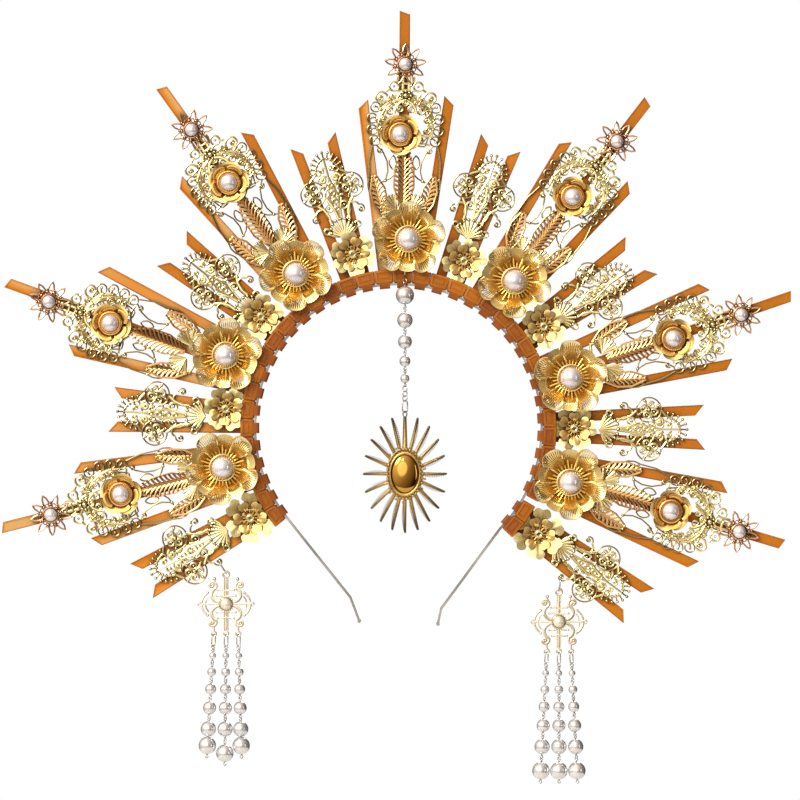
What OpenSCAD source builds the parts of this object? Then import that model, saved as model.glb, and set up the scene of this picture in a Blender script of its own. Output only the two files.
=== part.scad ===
// Halo crown: a steel headband ringed with cable-tie rays, gilt filigree sprays and leaves, metal
// flowers and pearls, with a sun pendant in the middle and a bead drop at each end.
// Millimetres, +Z up, the front faces -Y. The origin is at the top of the head seat, which is the
// inner side of the tie loops. Radii and angles are measured from the centre of the headband's arc.

/* [Headband] */
// Radius of the head seat, on the inner side of the tie loops
seat_r = 64.1; // [63.6:0.1:64.6]
// Thickness of the steel band
band_t = 1; // [0.6:0.1:1]
// Depth of the steel band, front to back
band_d = 5; // [4:0.1:5]

/* [Ties] */
// Width of a tie's strap
tie_w = 4.8; // [4:0.1:5]
// Thickness of a tie's strap
tie_t = 1.25; // [1:0.05:1.25]
// Width of a tie's head, along the band
head_w = 7.6; // [6:0.1:7.8]
// Height of a tie's head, away from the band
head_h = 6; // [4:0.1:6]
// Depth of a tie's head, front to back
head_d = 8; // [6:0.1:8]
// Angle from one tie to the next
tie_pitch = 7.06; // [7:0.01:7.1]
// Angle of the middle tie
middle_angle = 88.4; // [88:0.1:89]
// Slant of the cut end of a long ray
long_cut = 20; // [0:1:40]
// Slant of the cut end of a ray beside a long one
flank_cut = 37; // [0:1:50]
// Slant of the cut end of a ray behind a leaf
pair_cut = 41; // [0:1:50]

/* [Filigree] */
// Thickness of the filigree sheets
sheet_t = 0.8; // [0.5:0.1:0.8]
// Width of the bands in the filigree
wire_w = 1.2; // [0.9:0.1:1.3]

/* [Flowers] */
// Width of a big flower
big_d = 34.4; // [30:0.1:35]
// Width of a cup flower
cup_d = 19.2; // [17:0.1:19.4]
// Width of a star flower
star_d = 18.8; // [16:0.1:20]

/* [Pearls] */
// Pearl of a big flower
big_pearl = 10; // [9:0.1:10]
// Pearl of a cup flower
cup_pearl = 8; // [7:0.1:8]
// Pearl of a star flower
star_pearl = 6; // [5:0.1:6]

/* [Pendant] */
// Distance of the pendant to the right of the arc's centre
pendant_x = 3; // [2.8:0.1:3.2]
// Width of the sun over its rays
sun_w = 38.6; // [34:0.1:40]
// Height of the sun over its rays
sun_h = 54.2; // [48:0.1:55]

/* [Drops] */
// Half of the width between the outer strands, at the plate
strand_x = 5.6; // [5.5:0.1:5.8]

/* [Hidden] */
$fn = 48;
RAYS = 7;
LEAVES = 8;

// One row for each long ray, left to right: radius and angle of its tip at the high corner, of
// its star, its cup flower and its big flower, then of the tips of the flank rays to its left and
// right, and of the line through the two rings on its spray.
TIP = 0; STAR = 1; CUP = 2; BIG = 3; LEFT = 4; RIGHT = 5; SPRAY = 6;
long_rays = [
    [[188.7, 194.2], [164.6, 194.1], [131.1, 193.5], [82.7, 192.8],
     [150.3, 200.7], [150.6, 187.2], [148.7, 193.8]],
    [[192.5, 159.7], [170.6, 160.2], [140.6, 160.1], [86.0, 157.3],
     [156.3, 166.7], [155.6, 151.8], [155.4, 160.2]],
    [[191.3, 124.9], [166.4, 124.8], [136.7, 124.7], [84.9, 123.7],
     [152.5, 131.6], [153.7, 117.2], [152.5, 124.6]],
    [[191.7,  89.1], [166.8,  88.9], [134.6,  89.6], [86.7,  87.0],
     [151.4,  96.2], [153.9,  81.2], [152.7,  88.7]],
    [[189.5,  52.6], [165.3,  52.6], [132.6,  52.9], [85.9,  51.6],
     [153.5,  59.6], [154.8,  46.2], [150.8,  52.9]],
    [[191.2,  18.5], [165.7,  18.2], [132.7,  17.9], [82.3,  16.1],
     [156.6,  24.7], [156.8,  10.8], [152.3,  18.1]],
    [[185.3, -16.9], [163.7, -17.0], [130.8, -17.1], [82.7, -17.7],
     [154.3, -10.4], [151.3, -24.9], [149.8, -16.9]]];

// One row for each leaf, left to right: radius and angle of its top, of its small flower, and of
// the tips of the two rays behind it, and the width of its small flower.
LEAF = 0; SMALL = 1; PAIR_L = 2; PAIR_R = 3; SMALL_D = 4;
leaf_rows = [
    [[132.4, 210.8], [79.6, 211.4], [137.4, 213.8], [138.5, 207.9], 24.5],
    [[129.8, 176.7], [79.6, 173.8], [133.3, 179.8], [132.0, 172.9], 21.5],
    [[125.5, 141.5], [81.0, 141.0], [133.7, 145.2], [132.9, 138.1], 21.5],
    [[131.6, 105.6], [82.3, 104.7], [137.4, 110.2], [138.9, 103.0], 21.5],
    [[133.2,  70.0], [82.3,  68.4], [140.3,  73.3], [138.7,  67.1], 21.5],
    [[129.6,  34.2], [81.5,  34.8], [136.4,  39.0], [138.5,  31.6], 21.5],
    [[133.2,  -0.4], [80.8,  -0.3], [140.8,   3.3], [141.4,  -3.2], 21.5],
    [[131.2, -36.5], [80.9, -37.1], [139.1, -33.2], [137.3, -40.0], 24.5]];

// Clearance between pieces that touch on the real crown
gap = 0.1;
// The layers of a tie, outward from the seat
band_r = seat_r + tie_t + 0.15;
head_r = band_r + band_t + gap;
tail_r = head_r + 3;
// Depth of the slot that the band passes through in a tie
slot_d = band_d + 0.3;
// The two ties at the right end sit a little further round than the others
end_shift = 1.9;
// Angles at which the band's arc ends and its straight legs begin
arc_start = -45;
arc_end = 220;
// Bends and tips of the band's left and right legs
left_leg = [[-22.1, -78.1], [-18.0, -89.0]];
right_leg = [[19.7, -83.3], [18.2, -90.3]];
leg_tip_r = 0.8;
// How far a leg's faces lie inside the arc's
leg_step = 0.02;

// Heights over the crown's middle plane, towards the front
sheet_z = tie_t / 2 + gap;
flower_z = sheet_z + sheet_t + gap;
// Middle of the leaves' sheets, in which the drops hang
hang_z = sheet_z + sheet_t / 2;

// A spray is drawn from its base: the line through its two rings lies this far up
spray_line = 57.8;
// A leaf is drawn from its base: its top lies this far up
leaf_h = 39.7;
// The curl at a leaf's lower corner, where a drop hangs: its middle, mean radius and band width
curl_at = [11.3, 9.8];
curl_r = 1.4;
curl_w = 1;
// Width of the link between a curl and a plate, and its clearance from both
drop_link_w = 2.4;
drop_link_gap = 0.22;

// Wires: eye pins and small rings, oval rings, and the loops bent on the pins
pin_r = 0.22;
link_r = 0.3;
eye_r = 0.75;
// Clearance between a pearl and the eye below or above it
pearl_gap = 0.12;
// Distance between the middles of two eyes that hang in each other
eye_step = 2 * eye_r - 2 * pin_r - gap;

// The pendant hangs in front of the ties, at this depth
pendant_y = -6.9;
pendant_d = [8.4, 7.1, 6.4, 5, 4.1];
// Clear length between one pearl of the pendant and the next
pendant_gaps = [3.7, 3.15, 3.2, 3.4];
// Middle of the first pearl of the pendant, over the arc's centre
pendant_top = 60.7;
pendant_ring_r = 1.38;
pendant_rings = 3;
pendant_oval_h = 5.7;
pendant_oval_w = 3.2;
sun_eye_r = 1.3;
sun_eye_wire = 0.25;
// The sun's oval cup: half width and half height of its stone
stone = [6.3, 9];
sun_t = 1.6;

// A drop's strands: pearl widths, and clear length between one pearl and the next
drop_d = [3, 4, 5, 6, 7, 8];
drop_gaps = [4.0, 3.4, 3.15, 3.2];
// Last gap of a strand whose two lowest pearls share a pin, and of the others
shared_gap = 0.12;
free_gap = 3.6;
// Each strand: its place on the plate (-1, 0, 1), how far it swings out, and its last gap
left_strands = [[-1, -3.4, shared_gap], [0, -0.6, free_gap], [1, 1.5, shared_gap]];
right_strands = [[-1, -2.8, free_gap], [0, 0, free_gap], [1, 2.8, free_gap]];
// A plate is drawn from the middle of its top ring: rings, middle and curls
ring_hole = 0.9;
ring_out = 1.9;
plate_mid = -13.7;
plate_pearl = 5.4;
strand_y = -27.3;
strand_hole = 0.75;
strand_out = 1.4;
// Clearance of an oval ring from the plate's ring, which it passes through at a slant
strand_gap = 0.25;
plate_t = 0.6;
drop_oval_h = 5.6;
drop_oval_w = 3;
drop_oval_turn = 60;
drop_wire = 0.25;
drop_ring_r = 1;
// Middle of the top ring of each plate, from the arc's centre
left_plate_at = [-79.2, -67.5];
right_plate_at = [73.8, -75.6];

// Angle of tie k, counted from 0 at the middle, positive to the left
function tie_angle(k) = middle_angle + tie_pitch * k - (k <= -17 ? end_shift : 0);
// Tie behind long ray i, and the left one of the two behind leaf i
function long_tie(i) = 15 - 5 * i;
function pair_tie(i) = 18 - 5 * i;
// Points on an arc round c
function arc(c, r, a0, a1, steps = 12) =
    [for (i = [0:steps]) let (a = a0 + (a1 - a0) * i / steps) c + r * [cos(a), sin(a)]];
// Outline of a band of width w along the points p
function band_outline(p, w) = let (last = len(p) - 1, side = [for (i = [0:last])
        let (d = p[min(i + 1, last)] - p[max(i - 1, 0)]) [-d.y, d.x] * w / 2 / norm(d)])
    concat([for (i = [0:last]) p[i] + side[i]], [for (i = [last:-1:0]) p[i] - side[i]]);
// Points on an ellipse
function ellipse_points(rx, ry, steps = 40) =
    [for (i = [0:steps - 1]) [rx * cos(360 * i / steps), ry * sin(360 * i / steps)]];
// Place of a point drawn on a sheet at angle a, seen from the front, from the arc's centre
function placed(p, a) = [p.x * sin(a) + p.y * cos(a), -p.x * cos(a) + p.y * sin(a)];
// Sum of the first n values of a list
function sum(v, n) = n <= 0 ? 0 : v[n - 1] + sum(v, n - 1);
// Middle of pearl n in a strand, below the middle of its first pearl
function pearl_drop(d, gaps, n) = sum(gaps, n) + sum(d, n) + (d[n] - d[0]) / 2;

// Puts children drawn in front view (x to the right, y up, z to the front) round the arc's centre
module in_front_view() translate([0, 0, -seat_r]) rotate([90, 0, 0]) children();
// The same, turned so that y points outward along angle a
module on_ray(a, r = 0) in_front_view() rotate(a - 90) translate([0, r, 0]) children();
// The same, moved out to a polar place [radius, angle]
module at_polar(p) on_ray(p[1], p[0]) children();
module band(p, w = wire_w) polygon(band_outline(p, w));
module both_sides() for (side = [0, 1]) mirror([side, 0, 0]) children();
module flat(t = sheet_t) linear_extrude(t) children();
module ring_2d(hole, out) difference() { circle(out); circle(hole); }

// The steel band: an arc, and two straight legs that end in small rolled tips. A leg begins inside
// the arc's end, from which it turns inward at angle a; way is its direction round the arc.
module leg(a, way, points) {
    mid_r = band_r + band_t / 2;
    line = concat([for (b = [a - way, a]) mid_r * [cos(b), sin(b)]], points);
    linear_extrude(band_d) polygon(band_outline(line, band_t - 2 * leg_step));
    translate(points[len(points) - 1]) cylinder(r = leg_tip_r, h = band_d);
}
module headband() color("dimgray") in_front_view() translate([0, 0, -band_d / 2]) {
    rotate(arc_start) rotate_extrude(angle = arc_end - arc_start)
        translate([band_r, 0]) square([band_t, band_d]);
    leg(arc_end, 1, left_leg);
    leg(arc_start, -1, right_leg);
}

// Tie k: a loop round the band, a square head and a straight tail, which leans over in its head
// to end at tip. Its end is cut at an angle, with the left side high where cut is positive.
module tie(k, tip, cut) {
    turn = tip[1] - tie_angle(k);
    reach = [-tip[0] * sin(turn), tip[0] * cos(turn) - tail_r];
    drop = tie_w * tan(cut);
    on_ray(tie_angle(k)) {
        difference() {
            translate([-tie_w / 2, seat_r, -slot_d / 2 - tie_t])
                cube([tie_w, head_r + 1 - seat_r, slot_d + 2 * tie_t]);
            translate([-tie_w, seat_r + tie_t, -slot_d / 2])
                cube([2 * tie_w, head_r - seat_r - tie_t, slot_d]);
        }
        translate([-head_w / 2, head_r, -head_d / 2]) cube([head_w, head_h, head_d]);
        translate([0, tail_r, -tie_t / 2]) rotate(atan2(-reach.x, reach.y)) linear_extrude(tie_t)
            polygon([[-tie_w / 2, 0], [tie_w / 2, 0],
                [tie_w / 2, norm(reach) - max(drop, 0)], [-tie_w / 2, norm(reach) + min(drop, 0)]]);
    }
}
module long_ties() color("peru") for (i = [0:RAYS - 1]) tie(long_tie(i), long_rays[i][TIP], long_cut);
module flank_ties() color("peru") for (i = [0:RAYS - 1]) {
    tie(long_tie(i) + 1, long_rays[i][LEFT], -flank_cut);
    tie(long_tie(i) - 1, long_rays[i][RIGHT], flank_cut);
}
module short_ties() color("peru") for (i = [0:LEAVES - 1]) {
    tie(pair_tie(i), leaf_rows[i][PAIR_L], pair_cut);
    tie(pair_tie(i) - 1, leaf_rows[i][PAIR_R], -pair_cut);
}

// A filigree spray: a stem from the big flower to the star, an arch of loops round the cup
// flower, lance-shaped outlines below it and a feathered wing over each flank ray.
// Loops along the arch: place, outer radius and hole radius.
spray_loops = [[6, 61.8, 2.3, 0], [11.4, 57.8, 3.3, 2], [14, 52.2, 2.5, 0],
    [15.4, 47, 2.5, 0], [15.3, 41.7, 2.5, 0], [14, 36.8, 2.5, 0]];
module half_spray() {
    for (s = spray_loops) translate([s[0], s[1]]) if (s[3] > 0) ring_2d(s[3], s[2]); else circle(s[2]);
    band(arc([0, 46], 12.6, -52, 92, 16), 4.4);
    band([[0, 57.5], [2.6, 58.8], [5, 61.4]]);
    band([[7, 61.4], [9, 59.6]]);
    translate([5.3, 27.5]) circle(2);
    band(arc([20.6, 24.2], 12, 122, 208, 10));
    band([[2, 22.6], [5.6, 19.8], [10, 18.6], [12.6, 18.4]]);
    polygon([[16.8, 20.8], [16.2, 16.5], [14.9, 12], [13, 7], [11, 2.5], [8.5, 0.5],
        [0, 0.5], [0, 5], [4.2, 6], [7.4, 9.5], [9.8, 14.5], [11.4, 19]]);
}
module spray(i) {
    base = long_rays[i][SPRAY] - [spray_line, 0];
    color("gold") at_polar(base) translate([0, 0, sheet_z]) {
        both_sides() flat() half_spray();
        flat() {
            translate([0, long_rays[i][CUP][0] - base[0]]) circle(cup_d / 2 - 1.5);
            polygon([[-3.2, 34], [-4, 27], [-4, 12], [-5.2, 1], [5.2, 1], [4, 12], [4, 27], [3.2, 34]]);
            translate([-1.8, 30]) square([3.6, long_rays[i][STAR][0] - base[0] - 29]);
        }
    }
}

// A filigree leaf: a stem topped by bead-tipped sprouts, a big loop with a scroll in it on each
// side, scrolled shoulders, small open curls at the lower corners and a ribbed fan at the base
module curl_2d() band(arc([0, 0], curl_r, -150, 150, 20), curl_w);
module half_leaf() {
    translate([8.9, 21.6]) { ring_2d(4.8, 6); circle(2.2); translate([-0.6, 0]) square([1.2, 5.4]); }
    translate([5.6, 30.4]) circle(2.3);
    band([[0, 33.6], [3.4, 32.6], [5.6, 30], [6.6, 26.4]]);
    band([[0, 22.4], [3.6, 21.2]]);
    band([[0, 10.6], [2.6, 13], [5.4, 17]]);
    band([[8.4, 16], [6.4, 9], [3.6, 3]]);
    band([[7.4, 13], [9, 11.2], curl_at + curl_r * [cos(150), sin(150)]]);
    translate(curl_at) curl_2d();
    for (k = [0:2]) rotate_about([0, 32], -24 * k) translate([-0.5, 32]) {
        square([1, 6.6 - 0.7 * k]);
        translate([0.5, 6.8 - 0.7 * k]) circle(0.9);
    }
    polygon([[0, 0], [5, 0.6], [5.8, 4.4], [3.6, 7], [0, 7.6]]);
}
module rotate_about(p, a) translate(p) rotate(a) translate(-p) children();
module leaf(i) color("gold") at_polar(leaf_rows[i][LEAF] - [leaf_h, 0]) translate([0, 0, sheet_z]) {
    both_sides() flat() half_leaf();
    translate([-0.8, 5, 0]) cube([1.6, 28, sheet_t]);
}

// The wall of a dished petal layer: a turned bowl, cut to the outline of its petals.
// profile holds the radius and height of the wall's back; t is its thickness.
module petal_layer(profile, t, petals, r, notch, turn = 0) intersection() {
    rotate_extrude() polygon(concat(profile, [for (i = [len(profile) - 1:-1:0]) profile[i] + [0, t]]));
    rotate(turn) linear_extrude(20) difference() {
        union() {
            circle(r * 0.6);
            for (k = [0:petals - 1]) rotate(90 + 360 * k / petals) translate([r * 0.57, 0]) circle(r * 0.43);
        }
        for (k = [0:petals - 1]) rotate(90 + 360 * (k + 0.5) / petals)
            polygon([[r * 0.42, 0], [r * 1.2, notch], [r * 1.2, -notch]]);
    }
}
// A round setting for a pearl of width d: a foot from height z0 up to the floor, and a low wall
wall_t = 0.7;
module setting(d, z0, floor_z, wall_h) {
    translate([0, 0, z0]) cylinder(r = d / 2 + wall_t, h = floor_z - z0);
    translate([0, 0, floor_z - 0.5]) difference() {
        cylinder(r = d / 2 + wall_t, h = wall_h + 0.5);
        translate([0, 0, 0.5]) cylinder(r = d / 2 + pearl_gap, h = wall_h + 1);
    }
}
// A pearl with a flat back at height z
module flat_pearl(d, z) translate([0, 0, z]) intersection() {
    translate([0, 0, d * 0.2]) sphere(d / 2);
    translate([-d, -d, 0]) cube(2 * d);
}

// A big flower: five broad petals over a smaller layer turned between them, and a pearl setting
big_floor = 4;
module big_flower(i) color("gold") at_polar(long_rays[i][BIG]) {
    r = big_d / 2;
    petal_layer([[0, flower_z], [4, flower_z], [9.2, 4.25], [0.82 * r, 5.6]], 0.6, 5, 0.82 * r, 1.6, 36);
    petal_layer([[0, 3], [5, 3.3], [9.2, 5.1], [0.8 * r, 6.7], [r, 7.5]], 0.7, 5, r, 1.6);
    setting(big_pearl, sheet_z, big_floor, 1.6);
}
module flower_pearls() color("white") for (row = long_rays)
    at_polar(row[BIG]) flat_pearl(big_pearl, big_floor + gap);

// A small flower: six domed petals over six wider ones, a foot that rests on both of the rays
// behind it, and a drilled hub in the middle
small_foot_r = 4.6;
small_hub_r = 2.4;
small_hub_h = 3.4;
small_hole = [0.8, 1.4];
module small_flower(i) color("gold") at_polar(leaf_rows[i][SMALL]) {
    r = leaf_rows[i][SMALL_D] / 2;
    petal_layer([[0, flower_z], [3, flower_z], [6.6, 4.15], [r, 4.25]], 0.4, 6, r, 1.2, 30);
    petal_layer([[0, 2.9], [2.6, 3.1], [5.2, 4.9], [7.9, 6]], 0.6, 6, 7.9, 1);
    translate([0, 0, sheet_z]) cylinder(r = small_foot_r, h = flower_z - sheet_z + 0.3);
    translate([0, 0, flower_z]) difference() {
        cylinder(r = small_hub_r, h = small_hub_h);
        translate([0, 0, small_hub_h - small_hole[1]]) cylinder(r = small_hole[0], h = small_hub_h);
    }
}

// A cup flower: an open cup of five rounded petals over a wider layer, and a pearl setting
cup_floor = 3;
module cup_flower(i) color("gold") at_polar(long_rays[i][CUP]) {
    r = cup_d / 2;
    petal_layer([[0, flower_z], [3.4, flower_z], [6.4, 3.2], [r, 5.4]], 0.6, 5, r, 1, 36);
    petal_layer([[0, 2.3], [4.6, 2.5], [5.6, 4], [0.8 * r, 6.2]], 0.6, 5, 0.8 * r, 0.8);
    setting(cup_pearl, flower_z, cup_floor, 1.3);
}
module cup_pearls() color("white") for (row = long_rays)
    at_polar(row[CUP]) flat_pearl(cup_pearl, cup_floor + gap);

// A star flower: nine pointed wire loops, shown filled, and a pearl setting
star_points = 9;
star_t = 0.6;
star_loop_w = 3.2;
star_floor = flower_z + star_t + 0.3;
module star_flower(i) color("peru") at_polar(long_rays[i][STAR]) {
    translate([0, 0, flower_z]) linear_extrude(star_t) for (k = [0:star_points - 1])
        rotate(360 * k / star_points) polygon([[1, 0], [star_d * 0.3, star_loop_w / 2],
            [star_d / 2, 0], [star_d * 0.3, -star_loop_w / 2]]);
    setting(star_pearl, flower_z, star_floor, 1);
}
module star_pearls() color("white") for (row = long_rays)
    at_polar(row[STAR]) flat_pearl(star_pearl, star_floor + gap);

// Wire pieces, upright in front view with y up: a round ring, an oval ring h high and w wide
// between wire middles with its top at the origin, and an eye pin
module wire_ring(r, wire, turn) rotate([0, turn, 0])
    rotate_extrude() translate([r, 0]) circle(wire, $fn = 24);
module oval_ring(w, h, wire, turn) rotate([0, turn, 0]) {
    for (end = [0, 1]) translate([0, end ? w / 2 - h : -w / 2, 0]) rotate(end * 180)
        rotate_extrude(angle = 180) translate([w / 2, 0]) circle(wire, $fn = 24);
    for (side = [-1, 1]) translate([side * w / 2, w / 2 - h, 0]) rotate([-90, 0, 0])
        cylinder(r = wire, h = h - w, $fn = 24);
}
module pin(top, bottom, turn) {
    for (y = [top, bottom]) translate([0, y, 0]) wire_ring(eye_r, pin_r, turn);
    translate([0, bottom + eye_r, 0]) rotate([-90, 0, 0]) cylinder(r = pin_r, h = top - bottom - 2 * eye_r);
}
module drilled_pearl(d) rotate([-90, 0, 0]) difference() {
    sphere(d / 2);
    cylinder(r = pin_r + gap, h = 2 * d, center = true);
}
// Middle of the eye above or below a pearl of width d, when the clear length there is g
function eye_off(d, g) = d / 2 + (g - eye_step) / 2;

// The pendant chain, drawn from the middle of its first pearl
function pendant_y_of(n) = -pearl_drop(pendant_d, pendant_gaps, n);
pendant_last = len(pendant_d) - 1;
pendant_end = pendant_y_of(pendant_last) - pendant_d[pendant_last] / 2 - pearl_gap - eye_r - pin_r;
ring_step = 2 * pendant_ring_r - 2 * pin_r - gap;
oval_top = pendant_end - eye_r + (2 * pin_r + gap) - pendant_rings * ring_step + (link_r - pin_r);
oval_bottom = oval_top - pendant_oval_h;
// Height of the sun's pivot over the arc's centre
sun_pivot = pendant_top + oval_bottom;
module on_pendant() in_front_view() translate([pendant_x, pendant_top, -pendant_y]) children();
module chain_pearls() color("lavender") on_pendant() for (n = [0:pendant_last])
    translate([0, pendant_y_of(n), 0]) drilled_pearl(pendant_d[n]);
module chain_links() color("silver") {
    on_pendant() {
        for (n = [0:pendant_last]) let (y = pendant_y_of(n), d = pendant_d[n])
            pin(y + (n == 0 ? d / 2 + pearl_gap + eye_r + pin_r : eye_off(d, pendant_gaps[n - 1])),
                n == pendant_last ? pendant_end : y - eye_off(d, pendant_gaps[n]), n % 2 ? -45 : 45);
        for (n = [0:pendant_rings - 1])
            translate([0, pendant_end - eye_r + 2 * pin_r + gap - pendant_ring_r - n * ring_step, 0])
                wire_ring(pendant_ring_r, pin_r, n % 2 ? 45 : -45);
        translate([0, oval_top, 0]) oval_ring(pendant_oval_w, pendant_oval_h, link_r, 45);
    }
    hanger();
}
// The hanger: a wire that hooks over the head of the middle tie, comes down in front of it and
// bends forward to a closed eye that holds the first pin
hanger_z = head_d / 2 + gap + link_r;
hanger_top = head_r + head_h + gap + link_r;
hanger_eye_r = 1.1;
module rod(a, b) let (d = b - a, flat = norm([d.x, d.y])) translate(a)
    rotate([0, 90 - atan2(d.z, flat), atan2(d.y, d.x)]) cylinder(r = link_r, h = norm(d));
module hanger() in_front_view() {
    eye_y = pendant_top + pendant_d[0] / 2 + pearl_gap + 2 * eye_r - link_r - gap + hanger_eye_r;
    bends = [[pendant_x, hanger_top, tie_t / 2 + 0.5], [pendant_x, hanger_top, hanger_z],
        [pendant_x, eye_y + 2.6, hanger_z], [pendant_x, eye_y + hanger_eye_r, -pendant_y]];
    for (n = [0:len(bends) - 2]) rod(bends[n], bends[n + 1]);
    for (n = [0:len(bends) - 2]) translate(bends[n]) sphere(link_r);
    translate([pendant_x, eye_y, -pendant_y]) wire_ring(hanger_eye_r, link_r, -45);
}

// The sun: a small eye, a flat oval with a rim round a domed stone, and twenty tapering rays
sun_rays = 20;
sun_base = [stone.x + 1.9, stone.y + 3];
// Middle of the sun over the arc's centre
sun_mid = -21.2;
module sun() color("darkgoldenrod") in_front_view() translate([pendant_x, sun_mid, -pendant_y]) {
    translate([0, 0, -sun_t / 2]) linear_extrude(sun_t) {
        polygon(ellipse_points(sun_base.x, sun_base.y));
        for (k = [0:sun_rays - 1]) let (a = 360 * k / sun_rays + 90,
                tip = [sun_w / 2 * cos(a), sun_h / 2 * sin(a)],
                root = [sun_base.x * cos(a), sun_base.y * sin(a)] * 0.92, d = tip - root, l = norm(d))
            translate(root) rotate(atan2(d.y, d.x)) {
                polygon([[0, -0.8], [0.4 * l, -1], [l - 0.8, -0.7], [l - 0.8, 0.7], [0.4 * l, 1], [0, 0.8]]);
                translate([l - 0.8, 0]) circle(0.75);
            }
    }
    translate([0, 0, sun_t / 2]) linear_extrude(0.9) difference() {
        polygon(ellipse_points(stone.x + 0.9, stone.y + 0.9));
        polygon(ellipse_points(stone.x, stone.y));
    }
    hull() for (s = [[1, 0.5], [0.86, 1.5], [0.5, 2.2]])
        translate([0, 0, sun_t / 2 - 0.2]) linear_extrude(s[1])
            polygon(ellipse_points(s[0] * stone.x, s[0] * stone.y));
    translate([0, sun_pivot - sun_mid + link_r + sun_eye_wire + gap - sun_eye_r, 0])
        wire_ring(sun_eye_r, sun_eye_wire, -45);
    translate([0, sun_h / 2 - 1.2, 0]) rotate([-90, 0, 0]) cylinder(r = 0.7,
        h = sun_pivot - sun_mid + link_r + sun_eye_wire + gap - 2 * sun_eye_r - sun_h / 2 + 1.2);
}

// A drop's plate: a cross-barred upright, four S-scrolls, a crescent on each side, and rings
module quarter_plate() {
    band(arc([5.5, 8.7], 1.8, 250, -30, 14), 1);
    band([[4.4, 7.6], [6, 6.2], [7, 4.4], [6.6, 2.4], [4.6, 0.8], [2, 0.2]], 1);
    translate([0, 2.9]) square([3.2, 0.8]);
    translate([0, 5.6]) square([2.6, 0.8]);
}
module plate(at) color("khaki") in_front_view() translate([at.x, at.y, hang_z - plate_t / 2]) {
    flat(plate_t) ring_2d(ring_hole, ring_out);
    translate([-1.1, strand_y + 1, 0]) cube([2.2, -strand_y - 2.3, plate_t]);
    both_sides() flat(plate_t) {
        translate([0, plate_mid]) {
            quarter_plate();
            mirror([0, 1]) quarter_plate();
            translate([0, -0.45]) square([11.4, 0.9]);
            translate([11.9, 0]) circle(1.1);
            band(arc([5.5, 0], 5.9, -60, 60), 1);
        }
        translate([5.3, -2.1]) circle(0.8);
        translate([4.9, -4]) square([0.8, 2]);
        translate([strand_x - 0.4, strand_y + 0.9]) square([0.8, 2.2]);
    }
    flat(plate_t) translate([0, plate_mid]) circle(2.9);
    for (x = [-1, 0, 1]) flat(plate_t) translate([x * strand_x, strand_y]) ring_2d(strand_hole, strand_out);
}
// The link between a leaf's curl and a plate's top ring, in a plane square to both
module drop_link(i, side, plate_at) {
    row = leaf_rows[i][LEAF];
    curl = placed([side * curl_at.x, row[0] - leaf_h + curl_at.y], row[1]);
    hook = plate_at + [0, ring_hole - link_r - drop_link_gap];
    d = (hook - curl) / norm(hook - curl);
    top = curl + d * (curl_r - curl_w / 2 - link_r - drop_link_gap);
    in_front_view() translate([top.x, top.y, hang_z]) rotate(atan2(d.y, d.x) + 90)
        oval_ring(drop_link_w, norm(hook - top), link_r, 90);
}

// The strands of a drop, drawn from the wire's middle at the top of each oval ring
strand_top = strand_y - strand_hole + drop_wire + strand_gap;
first_ring = -drop_oval_h + drop_wire + pin_r + gap - drop_ring_r;
first_eye = first_ring - drop_ring_r + 2 * pin_r + gap - eye_r;
first_pearl = first_eye - eye_r - pin_r - pearl_gap - drop_d[0] / 2;
function strand_gaps(s) = concat(drop_gaps, [s[2]]);
function strand_pearl(s, n) = first_pearl - pearl_drop(drop_d, strand_gaps(s), n);
module on_strand(at, s) in_front_view()
    translate([at.x + s[0] * strand_x, at.y + strand_top, hang_z]) rotate(s[1]) children();
module drop_pearls(at, strands) color("lavender") {
    for (s = strands, n = [0:len(drop_d) - 1])
        on_strand(at, s) translate([0, strand_pearl(s, n), 0]) drilled_pearl(drop_d[n]);
    in_front_view() translate([at.x, at.y + plate_mid, hang_z + plate_t / 2 + gap])
        flat_pearl(plate_pearl, 0);
}
module drop_links(at, strands) color("silver") for (s = strands) let (last = len(drop_d) - 1,
        shared = s[2] == shared_gap, pins = shared ? last - 1 : last) on_strand(at, s) {
    oval_ring(drop_oval_w, drop_oval_h, drop_wire, drop_oval_turn);
    translate([0, first_ring, 0]) wire_ring(drop_ring_r, pin_r, -45);
    for (n = [0:pins]) let (g = strand_gaps(s), low = n == pins ? last : n)
        pin(n == 0 ? first_eye : strand_pearl(s, n) + eye_off(drop_d[n], g[n - 1]),
            low == last ? strand_pearl(s, last) - drop_d[last] / 2 - pearl_gap - eye_r - pin_r
                : strand_pearl(s, n) - eye_off(drop_d[n], g[n]), n % 2 ? -45 : 45);
}
module left_plate() plate(left_plate_at);
module right_plate() plate(right_plate_at);
module left_drop_pearls() drop_pearls(left_plate_at, left_strands);
module right_drop_pearls() drop_pearls(right_plate_at, right_strands);
module left_drop_links() {
    drop_links(left_plate_at, left_strands);
    color("silver") drop_link(0, -1, left_plate_at);
}
module right_drop_links() {
    drop_links(right_plate_at, right_strands);
    color("silver") drop_link(LEAVES - 1, 1, right_plate_at);
}

headband();
long_ties();
flank_ties();
short_ties();
for (i = [1:RAYS]) spray(i - 1);
for (i = [1:RAYS]) star_flower(i - 1);
for (i = [1:RAYS]) cup_flower(i - 1);
for (i = [1:RAYS]) big_flower(i - 1);
for (i = [1:LEAVES]) leaf(i - 1);
for (i = [1:LEAVES]) small_flower(i - 1);
star_pearls();
cup_pearls();
flower_pearls();
chain_pearls();
chain_links();
sun();
left_plate();
left_drop_pearls();
left_drop_links();
right_plate();
right_drop_pearls();
right_drop_links();
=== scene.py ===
import math
import random

import bmesh
import bpy
from mathutils import Matrix, Vector


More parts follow.
